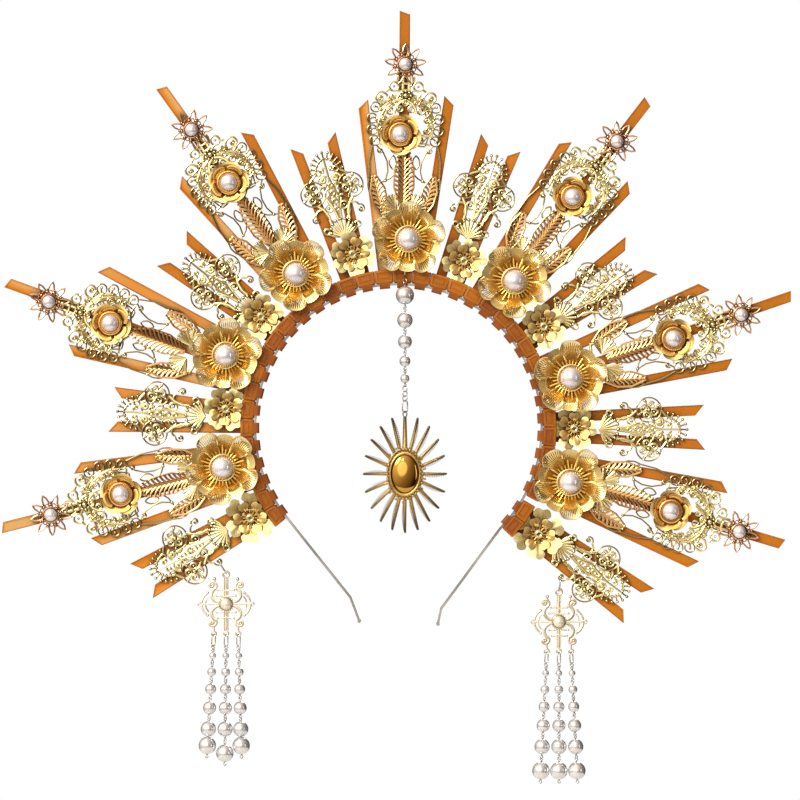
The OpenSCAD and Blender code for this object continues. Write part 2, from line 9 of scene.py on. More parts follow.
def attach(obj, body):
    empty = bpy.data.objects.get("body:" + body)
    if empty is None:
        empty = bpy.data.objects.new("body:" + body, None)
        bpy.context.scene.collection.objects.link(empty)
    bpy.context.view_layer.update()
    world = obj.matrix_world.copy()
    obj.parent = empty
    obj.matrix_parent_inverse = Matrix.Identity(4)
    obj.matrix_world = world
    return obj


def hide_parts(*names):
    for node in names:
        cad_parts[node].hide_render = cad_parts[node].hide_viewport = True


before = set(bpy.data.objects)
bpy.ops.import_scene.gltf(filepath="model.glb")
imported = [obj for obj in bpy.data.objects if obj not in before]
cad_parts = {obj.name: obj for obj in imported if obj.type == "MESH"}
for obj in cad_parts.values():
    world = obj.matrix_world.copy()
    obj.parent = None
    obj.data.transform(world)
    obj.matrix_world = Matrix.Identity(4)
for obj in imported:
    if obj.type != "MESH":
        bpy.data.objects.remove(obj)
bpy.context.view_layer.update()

# Camera: level with the crown and square to its front, so far away that the crown shows almost
# without perspective. One pixel of the photograph is 0.46 mm at the crown.
view_width = 0.368
camera_away = 1.8
view_middle = Vector((0.00074, 0, -0.05145))
camera_data = bpy.data.cameras.new("camera")
camera_data.sensor_width = 36
camera_data.lens = camera_data.sensor_width * camera_away / view_width
camera_data.clip_end = 20
camera = bpy.data.objects.new("camera", camera_data)
camera.location = view_middle + Vector((0, -camera_away, 0))
camera.rotation_euler = (math.radians(90), 0, 0)
bpy.context.scene.collection.objects.link(camera)
bpy.context.scene.camera = camera
bpy.context.scene.view_settings.view_transform = "Standard"

# Light: a broad soft box high on the left and a weaker one in front, a fill on the right, a low
# strip for the undersides of the petals, a small hard one for the sparkle, and one from behind.


def soft_box(name, place, width, height, power, colour=(1, 1, 1)):
    """An area light that looks at the middle of the crown."""
    data = bpy.data.lights.new(name, "AREA")
    data.shape = "ELLIPSE"
    data.size = width
    data.size_y = height
    data.energy = power
    data.color = colour
    light = bpy.data.objects.new(name, data)
    light.location = place
    light.rotation_euler = (view_middle - Vector(place)).to_track_quat("-Z", "Y").to_euler()
    bpy.context.scene.collection.objects.link(light)


soft_box("key_light", (-1.45, -1.4, 1.25), 1.2, 1.2, 33)
soft_box("front_light", (-0.5, -2.7, 0.4), 1.8, 1.4, 7.5)
soft_box("fill_light", (1.9, -1.2, 0.1), 0.3, 1.4, 3)
soft_box("low_light", (0.3, -1.6, -1.5), 1.2, 0.3, 3, (1, 0.93, 0.84))
soft_box("sparkle_light", (-0.3, -1.6, 0.9), 0.1, 0.1, 3)
soft_box("back_light", (0.2, 1.6, 0.9), 1.0, 0.6, 8)

# Surroundings: white behind the crown, as in the photograph. The room that the metal reflects is
# bright high on the left, where the window is, and falls off to a dark corner low on the right.
# The floor is a pale round table top far below, out of the photograph's view.
backdrop_white = (1, 1, 1)
window_way = (-0.58, -0.50, 0.64)
room_tones = [(0.0, (0.012, 0.007, 0.004)),
              (0.45, (0.035, 0.022, 0.013)),
              (0.68, (0.32, 0.245, 0.165)),
              (0.85, (0.80, 0.71, 0.58)),
              (1.0, (1.5, 1.42, 1.28))]


def adder(tree):
    """A function that adds a node to a tree, with its wires, settings and socket values."""
    def add(kind, wires=(), **values):
        node = tree.nodes.new(kind)
        for key, value in values.items():
            if hasattr(node, key):
                setattr(node, key, value)
            else:
                node.inputs[key.replace("_", " ")].default_value = value
        for socket, source in wires:
            tree.links.new(source, node.inputs[socket])
        return node

    return add


def blend_of(add, factor, first, second):
    """Mixes two colours, or colour sockets, by a factor socket."""
    node = add("ShaderNodeMix", [("Factor", factor)], data_type="RGBA")
    for socket, value in (("A", first), ("B", second)):
        if isinstance(value, bpy.types.NodeSocket):
            node.id_data.links.new(value, node.inputs[socket])
        else:
            node.inputs[socket].default_value = (*value, 1)
    return node.outputs["Result"]


def between(add, source, low, high, out_low=0, out_high=1):
    """Stretches a value from one range to another."""
    node = add("ShaderNodeMapRange", [("Value", source)], From_Min=low, From_Max=high,
               To_Min=out_low, To_Max=out_high)
    return node.outputs["Result"]


world = bpy.data.worlds.new("studio")
bpy.context.scene.world = world
world.use_nodes = True
room = world.node_tree
add = adder(room)
way = add("ShaderNodeTexCoord").outputs["Generated"]
towards_window = add("ShaderNodeVectorMath", [(0, way)], operation="DOT_PRODUCT")
towards_window.inputs[1].default_value = window_way
tones = add("ShaderNodeValToRGB", [("Fac", between(add, towards_window.outputs["Value"], -1, 1))])
for position, tone in room_tones[1:-1]:
    tones.color_ramp.elements.new(position)
for element, (position, tone) in zip(tones.color_ramp.elements, room_tones):
    element.position = position
    element.color = (*tone, 1)
seen = add("ShaderNodeLightPath").outputs["Is Camera Ray"]
shown = blend_of(add, seen, tones.outputs["Color"], backdrop_white)
room.links.new(shown, room.nodes["Background"].inputs["Color"])


def shader(name, metallic, roughness, coat=0.0):
    """A material, its Principled shader and a function that adds a node to it."""
    material = bpy.data.materials.new(name)
    material.use_nodes = True
    surface = material.node_tree.nodes["Principled BSDF"]
    surface.inputs["Metallic"].default_value = metallic
    surface.inputs["Roughness"].default_value = roughness
    surface.inputs["Coat Weight"].default_value = coat
    return material, surface, adder(material.node_tree)


floor_radius = 0.55
floor_z = -0.42
floor_mesh = bpy.data.meshes.new("floor")
bm = bmesh.new()
bmesh.ops.create_circle(bm, cap_ends=True, segments=96, radius=floor_radius,
                        matrix=Matrix.Translation((0, 0, floor_z)))
bm.to_mesh(floor_mesh)
bm.free()
floor = bpy.data.objects.new("floor", floor_mesh)
bpy.context.scene.collection.objects.link(floor)
floor_paint, surface, add = shader("pale_floor", 0.0, 0.9)
surface.inputs["Base Color"].default_value = (0.9, 0.9, 0.89, 1)
floor_mesh.materials.append(floor_paint)

# Headband: a flat spring-steel hoop, seen edge-on, with two straight legs whose tips are rolled
# up. Its CAD node has the right shape, so it stays and gets worn, dark, brushed steel.


def noise(add, scale, detail, stretch=(1, 1, 1)):
    """Noise on the object's own coordinates; scale is in features a metre."""
    where = add("ShaderNodeTexCoord")
    mapping = add("ShaderNodeMapping", [("Vector", where.outputs["Object"])])
    mapping.inputs["Scale"].default_value = stretch
    return add("ShaderNodeTexNoise", [("Vector", mapping.outputs["Vector"])],
               Scale=scale, Detail=detail).outputs["Fac"]


def finish(add, surface, colour, marks, smoothest, roughest, strength, polish=None):
    """Sets a surface's colour. Marks dent it a little, and they or polish vary its roughness."""
    wear = between(add, marks if polish is None else polish, 0.3, 0.7, smoothest, roughest)
    bump = add("ShaderNodeBump", [("Height", marks)], Strength=strength, Distance=0.0001)
    for socket, source in (("Base Color", colour), ("Roughness", wear),
                           ("Normal", bump.outputs["Normal"])):
        surface.id_data.links.new(source, surface.inputs[socket])


steel, surface, add = shader("band_steel", 1.0, 0.4)
brushing = noise(add, 900, 4, (0.15, 4, 0.15))
stains = between(add, noise(add, 60, 5), 0.35, 0.7)
finish(add, surface, blend_of(add, stains, (0.30, 0.29, 0.28), (0.60, 0.58, 0.55)), brushing,
       0.28, 0.55, 0.25)
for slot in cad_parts["headband"].material_slots:
    slot.material = steel

# Cable ties: moulded plastic straps in satin orange-gold, looped round the band, pulled through
# their heads and cut off at a slant. Each has smooth rails and a toothed track on its back.
seat_radius = 64.1
strap_width = 4.8
strap_thick = 1.25
tooth_pitch, tooth_depth = 1.6, 0.28
head_radius = seat_radius + strap_thick + 1.25
head_size = (7.6, 6, 8)
tail_radius = head_radius + 3
loop_depth = 5.3 + 2 * strap_thick
tie_pitch = 7.06
middle_angle = 88.4
long_cut, flank_cut, pair_cut = 20, 37, 41
# Loops and heads are the same plastic as the tails; their lower tones are painted shade.
loop_shade_tone, head_shade_tone, head_edge_highlight = 0.16, 0.14, 0.28

# One row for each long ray, left to right: radius and angle of its tip, star, cup flower and big
# flower, of the tips of the rays to its left and right, and of the line through its spray's rings.
TIP, STAR, CUP, BIG, LEFT, RIGHT, SPRAY = range(7)
long_rays = [
    [(188.7, 194.2), (164.6, 194.1), (131.1, 193.5), (82.7, 192.8), (150.3, 200.7), (150.6, 187.2),
     (148.7, 193.8)],
    [(192.5, 159.7), (170.6, 160.2), (140.6, 160.1), (86.0, 157.3), (156.3, 166.7), (155.6, 151.8),
     (155.4, 160.2)],
    [(191.3, 124.9), (166.4, 124.8), (136.7, 124.7), (84.9, 123.7), (152.5, 131.6), (153.7, 117.2),
     (152.5, 124.6)],
    [(191.7, 89.1), (166.8, 88.9), (134.6, 89.6), (86.7, 87.0), (151.4, 96.2), (153.9, 81.2),
     (152.7, 88.7)],
    [(189.5, 52.6), (165.3, 52.6), (132.6, 52.9), (85.9, 51.6), (153.5, 59.6), (154.8, 46.2),
     (150.8, 52.9)],
    [(191.2, 18.5), (165.7, 18.2), (132.7, 17.9), (82.3, 16.1), (156.6, 24.7), (156.8, 10.8),
     (152.3, 18.1)],
    [(185.3, -16.9), (163.7, -17.0), (130.8, -17.1), (82.7, -17.7), (154.3, -10.4), (151.3, -24.9),
     (149.8, -16.9)]]

# One row for each leaf: radius and angle of its top, of its small flower and of the tips of the
# two rays behind it, and the width of its small flower.
LEAF, SMALL, PAIR_LEFT, PAIR_RIGHT, SMALL_WIDTH = range(5)
leaf_rows = [
    [(132.4, 210.8), (79.6, 211.4), (137.4, 213.8), (138.5, 207.9), 24.5],
    [(129.8, 176.7), (79.6, 173.8), (133.3, 179.8), (132.0, 172.9), 21.5],
    [(125.5, 141.5), (81.0, 141.0), (133.7, 145.2), (132.9, 138.1), 21.5],
    [(131.6, 105.6), (82.3, 104.7), (137.4, 110.2), (138.9, 103.0), 21.5],
    [(133.2, 70.0), (82.3, 68.4), (140.3, 73.3), (138.7, 67.1), 21.5],
    [(129.6, 34.2), (81.5, 34.8), (136.4, 39.0), (138.5, 31.6), 21.5],
    [(133.2, -0.4), (80.8, -0.3), (140.8, 3.3), (141.4, -3.2), 21.5],
    [(131.2, -36.5), (80.9, -37.1), (139.1, -33.2), (137.3, -40.0), 24.5]]

# Pieces are drawn in millimetres from the arc's middle, x to the right, y up and z to the front.
here = Matrix.Identity(4)
upright = Matrix.Rotation(math.radians(90), 4, "X")
front_view = Matrix.Scale(0.001, 4) @ Matrix.Translation((0, 0, -seat_radius)) @ upright


def on_ray(radius, angle, lift=0.0):
    """Place of what is drawn in millimetres, x across a ray, y outward and z towards the front."""
    turn = Matrix.Rotation(math.radians(angle - 90), 4, "Z")
    return front_view @ turn @ Matrix.Translation((0, radius, lift))


def mesh_of(bm, name, sharp=50):
    """Closes open ends, points the faces outwards and shades the mesh smooth up to an angle."""
    bmesh.ops.holes_fill(bm, edges=bm.edges, sides=0)
    bmesh.ops.recalc_face_normals(bm, faces=bm.faces)
    for face in bm.faces:
        face.smooth = True
    mesh = bpy.data.meshes.new(name)
    bm.to_mesh(mesh)
    bm.free()
    mesh.set_sharp_from_angle(angle=math.radians(sharp))
    return mesh


def add_piece(name, mesh, place, material, body, slot, *nodes):
    """Puts a copy of a mesh in its place, to ride on a body and stand for CAD nodes."""
    mesh = mesh.copy()
    mesh.transform(place)
    mesh.materials.clear()
    mesh.materials.append(material)
    piece = bpy.data.objects.new(name, mesh)
    bpy.context.scene.collection.objects.link(piece)
    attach(piece, body)
    if nodes:
        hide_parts(*nodes)


def put(whole, part, place):
    """Adds a part, which is used up, to a whole."""
    bmesh.ops.transform(part, verts=part.verts, matrix=place)
    mesh = bpy.data.meshes.new("part")
    part.to_mesh(mesh)
    part.free()
    whole.from_mesh(mesh)
    bpy.data.meshes.remove(mesh)


def block(bm, low, high):
    """A box between two corners; gives its vertices."""
    low, high = Vector(low), Vector(high)
    size = Matrix.Diagonal((*(high - low), 1))
    middle = Matrix.Translation((low + high) / 2)
    return bmesh.ops.create_cube(bm, size=1, matrix=middle @ size)["verts"]


def edges_of(verts):
    """The edges that run between some vertices."""
    chosen = set(verts)
    near = {edge for vert in verts for edge in vert.link_edges}
    return [edge for edge in near if edge.verts[0] in chosen and edge.verts[1] in chosen]


def run(edge):
    """How far an edge runs in x, y and z."""
    way = edge.verts[0].co - edge.verts[1].co
    return Vector((abs(way.x), abs(way.y), abs(way.z)))


def soften(bm, edges, width, segments):
    """Rounds some edges."""
    bmesh.ops.bevel(bm, geom=edges, offset=width, offset_type="OFFSET", affect="EDGES",
                    segments=segments, profile=0.5, material=-1)


def moulded(whole, part, tone, edge, place=here):
    """Adds a part to a tie in its own tone, with shade painted much darker on its sides, beyond edge.
    """
    layer = part.verts.layers.float.new("tone")
    for vert in part.verts:
        vert[layer] = tone * (0.25 if abs(vert.co.x) > edge else 1)
    put(whole, part, place)


def tie_angle(k):
    """Angle of tie k, counted from 0 at the middle, positive to the left."""
    end_shift = 1.9 if k <= -17 else 0
    return middle_angle + tie_pitch * k - end_shift


def tie_tail(length, drop):
    """A flat strap cut at a slant, with a shallow channel in front and teeth behind."""
    bm = bmesh.new()
    half = strap_width / 2
    verts = block(bm, (-half, 0, -strap_thick / 2), (half, length, strap_thick / 2))
    for vert in verts:
        if vert.co.y > 0.5 * length:
            vert.co.y -= max(drop, 0) if vert.co.x > 0 else -min(drop, 0)
    for side, groove in ((1, 0.16), (-1, 0.3)):
        flat = [face for face in bm.faces if face.normal.z * side > 0.9]
        bmesh.ops.inset_individual(bm, faces=flat, thickness=0.75, depth=0)
        bmesh.ops.inset_individual(bm, faces=flat, thickness=0.15, depth=-groove)
    long_edges = [edge for edge in flat[0].edges if run(edge).y > 0.5 * length]
    cuts = bmesh.ops.subdivide_edges(bm, edges=long_edges, cuts=int(length / tooth_pitch),
                                     use_grid_fill=True)["geom_inner"]
    rows = [item for item in cuts
            if isinstance(item, bmesh.types.BMEdge) and run(item).x > 0.4 * strap_width]
    rows.sort(key=lambda edge: edge.verts[0].co.y)
    for edge in rows[::2]:
        for vert in edge.verts:
            vert.co.z -= tooth_depth
    rails = [edge for edge in bm.edges if run(edge).y > 0.5 * length
             and all(abs(abs(vert.co.x) - half) < 0.01 for vert in edge.verts)]
    soften(bm, rails, 0.22, 2)
    return bm


def tie_loop():
    """A flat ring of strap, rounded where it bends over the edges of the band."""
    bm = bmesh.new()
    half = strap_width / 2
    verts = block(bm, (-half, seat_radius, -loop_depth / 2), (half, head_radius + 1, loop_depth / 2))
    soften(bm, [edge for edge in edges_of(verts) if run(edge).x > half], 0.9, 3)
    for side in (1, -1):
        end = [face for face in bm.faces if face.normal.x * side > 0.9]
        bmesh.ops.inset_region(bm, faces=end, thickness=strap_thick * 0.8, depth=-0.5)
    return bm


def tie_head():
    """A moulded block, wider outward, with soft edges, a seam and the pawl's window in its front."""
    bm = bmesh.new()
    wide, high, deep = head_size
    verts = block(bm, (-wide / 2, head_radius, -deep / 2), (wide / 2, head_radius + high, deep / 2))
    for vert in verts:
        outward = vert.co.y > head_radius + 1
        vert.co.x *= 1.17 if outward else 1.075
        vert.co.z *= 0.97 if outward else 1
    soften(bm, edges_of(verts), 0.55, 3)
    for side in (1, -1):
        front = [face for face in bm.faces if face.normal.z * side > 0.99]
        for thickness, depth in ((0.9, 0), (0.25, -0.22), (0.9, 0), (0.2, 0.16)):
            bmesh.ops.inset_region(bm, faces=front, thickness=thickness, depth=depth)
    return bm


def cable_tie(ties, k, tip, cut, tone, roll, seed):
    """Adds a tie in its place: tail, loop and head. tone is 0 for brown to 1 for pale orange and paints
    the tail's light and shade.
    """
    rng = random.Random(seed)
    turn = math.radians(tip[1] - tie_angle(k))
    reach = Vector((-tip[0] * math.sin(turn), tip[0] * math.cos(turn) - tail_radius))
    lean = Matrix.Rotation(math.atan2(-reach.x, reach.y), 4, "Z")
    lean = Matrix.Translation((0, tail_radius, 0)) @ lean @ Matrix.Rotation(math.radians(roll), 4, "Y")
    rail = strap_width / 2 - 0.3
    whole = bmesh.new()
    layer = whole.verts.layers.float.new("tone")
    drop = strap_width * math.tan(math.radians(cut))
    moulded(whole, tie_tail(reach.length, drop), tone, rail, lean)
    moulded(whole, tie_loop(), loop_shade_tone * rng.uniform(0.6, 1.3), rail)
    moulded(whole, tie_head(), head_shade_tone * rng.uniform(0.3, 1.7), head_size[0] / 2 - 0.2)
    # painted highlight along the outer edges of the head
    for vert in whole.verts:
        outward = vert.co.y > head_radius + head_size[1] - 0.8
        if outward and strap_width / 2 + 0.3 < abs(vert.co.x) < head_size[0]:
            vert[layer] = head_edge_highlight
    put(ties, whole, on_ray(0, tie_angle(k)))


def hollows(add, reach):
    """How open a place is, from 0 in a hollow up to 1; reach is in metres. Colours mixed by it paint
    shade into hollows.
    """
    return add("ShaderNodeAmbientOcclusion", Distance=reach, samples=6).outputs["AO"]


plastic, surface, add = shader("tie_plastic", 0.0, 0.42, 0.03)
surface.inputs["Specular IOR Level"].default_value = 0.15
surface.inputs["Coat Roughness"].default_value = 0.25
# The tone held in the mesh carries painted light and shade; the clouds only vary it at random.
tone = add("ShaderNodeAttribute", attribute_name="tone")
clouds = between(add, noise(add, 45, 4), 0.3, 0.7, -0.06, 0.06)
varied = add("ShaderNodeMath", [(0, tone.outputs["Fac"]), (1, clouds)], operation="ADD")
ramp = add("ShaderNodeValToRGB", [("Fac", varied.outputs["Value"])])
ramp.color_ramp.elements[0].color = (0.27, 0.07, 0.013, 1)
ramp.color_ramp.elements[1].color = (0.72, 0.46, 0.18, 1)
ramp.color_ramp.elements.new(0.45).color = (0.70, 0.23, 0.010, 1)
# painted shade: the plastic turns dark brown in its hollows, between the heads and under the filigree
plastic_with_painted_shade = blend_of(add, hollows(add, 0.006), (0.09, 0.022, 0.005), ramp.outputs["Color"])
finish(add, surface, plastic_with_painted_shade, noise(add, 1400, 2), 0.34, 0.52, 0.12)

# Tail tones are painted light and shade: ties on the left, towards the key light, are painted lighter,
# and ties further right darker, as if in shade.
light, middling, dark = 0.85, 0.58, 0.30
long_ties, flank_ties, short_ties = bmesh.new(), bmesh.new(), bmesh.new()
for i, row in enumerate(long_rays):
    k = 15 - 5 * i
    tone, roll = (light, -3) if i < 3 else (dark, 3)
    left_tone = light if i < 4 else dark
    right_tone = middling if i < 2 else dark
    cable_tie(long_ties, k, row[TIP], long_cut, tone, roll, i)
    cable_tie(flank_ties, k + 1, row[LEFT], -flank_cut, left_tone, -5, 20 + i)
    cable_tie(flank_ties, k - 1, row[RIGHT], flank_cut, right_tone, 5, 40 + i)
for i, row in enumerate(leaf_rows):
    k = 18 - 5 * i
    tone = middling if i < 2 else dark
    cable_tie(short_ties, k, row[PAIR_LEFT], pair_cut, tone, 3, 60 + i)
    cable_tie(short_ties, k - 1, row[PAIR_RIGHT], -pair_cut, tone, -2, 80 + i)
for name, bm in (("long_ties", long_ties), ("flank_ties", flank_ties), ("short_ties", short_ties)):
    add_piece(name + "_moulded", mesh_of(bm, name, 38), here, plastic, "crown", "tie_plastic", name)

# Filigree sprays: pressed and soldered gilt wirework, one over each long ray. A forked stem leads
# to the star. Below it are curls, a wreath and a lattice round the cup flower, scalloped loops,
# teardrops, a ribbed ear up the middle and a feather over each ray beside it.
sheet_middle = 1.125
spray_line = 57.8
cup_middle = (0, 46)
fine, thin, stout = (0.8, 0.72), (1.1, 0.92), (1.46, 1.08)
bend_step = 0.36
tightening = 0.74


def new_metal():
    """An empty mesh that can hold how much its metal turns to its material's second colour."""
    bm = bmesh.new()
    bm.verts.layers.float.new("inner")
    return bm


def polar(radius, degrees, centre=(0, 0)):
    """A point on a circle, or on an oval where radius is its half width and half height."""
    across, up = radius if isinstance(radius, tuple) else (radius, radius)
    turn = math.radians(degrees)
    return Vector((centre[0] + across * math.cos(turn), centre[1] + up * math.sin(turn)))


def wire_section(bm, place, across, size, sides):
    """A flattened ring of vertices, square to the sheet, to be drawn out into a wire."""
    up = Vector((0, 0, 1))
    turn = Matrix((across, up, across.cross(up))).transposed().to_4x4()
    flat = Matrix.Diagonal((size[0], size[1], 1, 1))
    ring = bmesh.ops.create_circle(bm, segments=sides, radius=0.5,
                                   matrix=Matrix.Translation(place) @ turn @ flat)["verts"]
    second = bm.verts.layers.float.get("inner")
    if second and size[0] <= thin[0]:
        for vert in ring:
            vert[second] = 1.0 if size[0] <= fine[0] else 0.25
    return ring + edges_of(ring)


def swing(bm, geometry, centre, angle, steps, closed=False):
    """Draws a section round a centre in the plane of the sheet; gives its last place."""
    return bmesh.ops.spin(bm, geom=geometry, cent=centre, axis=(0, 0, 1), angle=angle, steps=steps,
                          use_merge=closed, use_duplicate=False)["geom_last"]


def draw_out(bm, geometry, way):
    """Draws a section straight on; gives its last place."""
    edges = [item for item in geometry if isinstance(item, bmesh.types.BMEdge)]
    drawn = bmesh.ops.extrude_edge_only(bm, edges=edges)["geom"]
    last = [item for item in drawn if not isinstance(item, bmesh.types.BMFace)]
    bmesh.ops.translate(bm, verts=[item for item in last if isinstance(item, bmesh.types.BMVert)],
                        vec=way)
    return last


def bend(bm, start, end, bulge, size=thin, lift=0.0, sides=6):
    """A wire from start to end whose middle stands off by bulge, to the left of its way."""
    a, b = Vector((*start, lift)), Vector((*end, lift))
    half = (b - a).length / 2
    way = (b - a).normalized()
    left = Vector((-way.y, way.x, 0))
    if abs(bulge) < 0.02:
        draw_out(bm, wire_section(bm, a, left, size, sides), b - a)
        return
    radius = (half * half + bulge * bulge) / (2 * abs(bulge))
    centre = (a + b) / 2 + left * (bulge - math.copysign(radius, bulge))
    angle = -math.copysign(4 * math.atan2(abs(bulge), half), bulge)
    section = wire_section(bm, a, (a - centre).normalized(), size, sides)
    swing(bm, section, centre, angle, max(2, round(abs(angle) / bend_step)))


def hoop(bm, centre, radius, size=thin, lift=0.0, sides=6, steps=16):
    """A closed round of wire."""
    centre = Vector((*centre, lift))
    section = wire_section(bm, centre + Vector((radius, 0, 0)), Vector((1, 0, 0)), size, sides)
    swing(bm, section, centre, 2 * math.pi, steps, True)


def ball(bm, radius, place=here, around=32, rows=20):
    """A ball; gives its vertices."""
    return bmesh.ops.create_uvsphere(bm, u_segments=around, v_segments=rows, radius=radius,
                                     matrix=place)["verts"]


def grain(bm, centre, radius, lift=0.0, around=8):
    """A granule of solder metal."""
    ball(bm, radius, Matrix.Translation((*centre, lift)), around, 5)


def curl(bm, start, heading, radius, hand, size=thin, lift=0.0, quarters=5, bead=0.6):
    """A scroll that winds in on itself from start, to the left where hand is 1, and ends in a bead."""
    at = Vector((*start, lift))
    way = Vector((*polar(1, heading), 0))
    left = Vector((-way.y, way.x, 0))
    quarter = Matrix.Rotation(hand * math.pi / 2, 4, "Z")
    geometry = wire_section(bm, at, left, size, 6)
    for n in range(quarters):
        centre = at + left * hand * radius
        geometry = swing(bm, geometry, centre, hand * math.pi / 2, 4)
        at = centre + quarter @ (at - centre)
        left = quarter @ left
        radius *= tightening
    grain(bm, at.xy, bead, lift)


def feather(bm, root, tip, width, barbs, size):
    """A rib with barbs that lean towards its tip on both sides."""
    root, tip = Vector(root), Vector(tip)
    way = (tip - root).normalized()
    across = Vector((-way.y, way.x))
    bend(bm, root, tip, 0.0, stout, 0.3)
    for n in range(barbs):
        share = (n + 0.5) / barbs
        base = root.lerp(tip, share)
        reach = width * math.sin(math.pi * (0.18 + 0.76 * share))
        for side in (1, -1):
            end = base + across * side * reach + way * reach * 0.8
            bend(bm, base, end, -0.5 * side, size, 0.4, 5)


def sweep(bm, centre, radius, start, end, size, lift):
    """A wire round part of a circle, from one angle up to another."""
    bulge = radius * (math.cos(math.radians(end - start) / 2) - 1)
    bend(bm, polar(radius, start, centre), polar(radius, end, centre), bulge, size, lift)


def mirror(bm):
    """Repeats on the left what is drawn so far on the right."""
    bmesh.ops.mirror(bm, geom=bm.verts[:] + bm.edges[:] + bm.faces[:], merge_dist=-1, axis="X")


def spray_mesh():
    """The wirework of a spray, from its base at the big flower up to the foot of the star."""
    bm = new_metal()
    # right arm of the stem, small rings and open curls beside it
    bend(bm, (1.4, 57), (1.4, 70.5), 0, stout, 0.15)
    bend(bm, (1.82, 62), (3.64, 66.4), -0.84, thin, 0.1)
    hoop(bm, (5.6, 61.9), 2.1)
    grain(bm, (5.6, 61.9), 0.6)
    bend(bm, (1.2, 58.2), (4.6, 60.2), 0.5)
    bend(bm, (7.2, 60.6), (9.2, 59.4), 0.2)
    curl(bm, (8.2, 56.6), 80, 3.2, -1, quarters=7, bead=0.8)
    bend(bm, (1.4, 56.2), (8.2, 56.6), 0.9)
    bend(bm, (2.4, 55.0), (12.0, 54.4), 0.8)
    curl(bm, (4.2, 57.4), 200, 1.3, 1, fine)
    # scalloped loops down the side, each with a bead where it meets the lattice
    for *loop, lean in ((13.8, 52.2, 35), (15.3, 47, 10), (15.2, 41.7, -10), (13.9, 36.8, -32)):
        hoop(bm, loop, 2.25, fine)
        grain(bm, polar(-2.4, lean, loop), 0.65, 0.3)
        bend(bm, polar(-2.2, lean, loop), polar(0.4, lean, loop), 0.5, fine, 0.1)
        grain(bm, polar(0.5, lean, loop), 0.65, 0.15)
    # a thin edge of the sheet round the cup flower, with a wreath of leaf-shaped loops on it
    sweep(bm, cup_middle, 12.7, -52, 82, (0.8, 0.5), -0.15)
    for n in range(9):
        angle = -42 + 13.5 * n
        tip = polar(13.7, angle + (9 if n % 2 else 16), cup_middle)
        for bulge in (0.85, -0.6):
            bend(bm, polar(10, angle, cup_middle), tip, bulge, thin, 0.1)
    # veins that fan out from the knot round the cup flower, with scrolls and rings between them
    for *end, bulge, size in ((11.9, 51.2, 1.3, thin), (13.1, 46.8, 2.6, thin), (13.0, 42.2, 3.9, fine),
                              (12.0, 38.0, 5.0, thin), (9.4, 34.6, 5.4, fine)):
        bend(bm, (0.9, 56.2), end, bulge, size, 0.2)
    for *start, heading, hand in ((5.2, 54.6, -60, 1), (9.6, 51.6, -80, 1), (11.8, 46.2, 260, -1),
                                  (11.2, 40.8, 240, -1), (8.4, 36.0, 200, -1)):
        curl(bm, start, heading, 1.5, hand, fine, 0.3)
    curl(bm, (1.1, 55.4), -65, 1.6, -1, thin, 0.25)
    curl(bm, (6.4, 55.0), -75, 1.4, -1, thin, 0.25)
    bend(bm, (0.6, 55.6), (5.2, 49.4), 1.1, stout, 0.3)
    for *centre, radius in ((2.6, 51.4, 1.3), (7.2, 50.6, 1.5), (9.9, 46.8, 1.3), (10.8, 42.0, 1.1)):
        hoop(bm, centre, radius, thin, 0.2, steps=12)
        grain(bm, centre, 0.55, 0.2)
    bend(bm, (11.6, 35), (2.4, 33), -1.6)
    # teardrop loops, and the long lance-shaped outlines under the scallops
    for start, end, bulge in (((9.2, 34.4), (3, 36.6), 0.8), ((5.3, 30.2), (5.3, 23.8), 1.7),
                              ((5.3, 23.8), (5.3, 30.2), 1.5), ((13, 34.6), (8.6, 18.4), -3.0),
                              ((8.6, 18.4), (16.4, 19.6), -1.6), ((16.2, 19.8), (15.0, 34.4), -0.8),
                              ((3.4, 24), (8.6, 18.4), -1.0), ((14.4, 11.0), (16.2, 19.4), -1.2),
                              ((16.2, 19.4), (13.8, 12.2), -0.9)):
        bend(bm, start, end, bulge, fine)
    grain(bm, (8.6, 18.4), 0.8, 0.2)
    curl(bm, (12.4, 33), -70, 1.3, -1, fine)
    curl(bm, (12.6, 6.4), 30, 1.5, 1, fine)
    # a shell that opens outward beside the ear, low over the big flower
    shell = (3.4, 5.0)
    for n in range(9):
        tip = polar(7.6 - 0.2 * abs(n - 3), 86 - 13 * n, shell)
        bend(bm, shell, tip, 0.0, thin if n % 2 else stout, 0.55, 5)
        grain(bm, tip, 0.62, 0.55)
    sweep(bm, shell, 4.2, -20, 92, thin, 0.35)
    bend(bm, (0.6, 1), (9.4, 1.4), -0.8, stout)
    mirror(bm)
    # cross bars of the stem, and the beaded knot at its foot
    for y in (60.5, 63.5, 66.5):
        bend(bm, (-2, y), (2, y), -0.4, thin, 0.4)
    for angle in range(0, 360, 45):
        grain(bm, polar((2.3, 2.0), angle, (0, 57.6)), 0.85, 0.45)
    grain(bm, (0, 57.6), 1.5, 0.6)
    return mesh_of(bm, "spray")


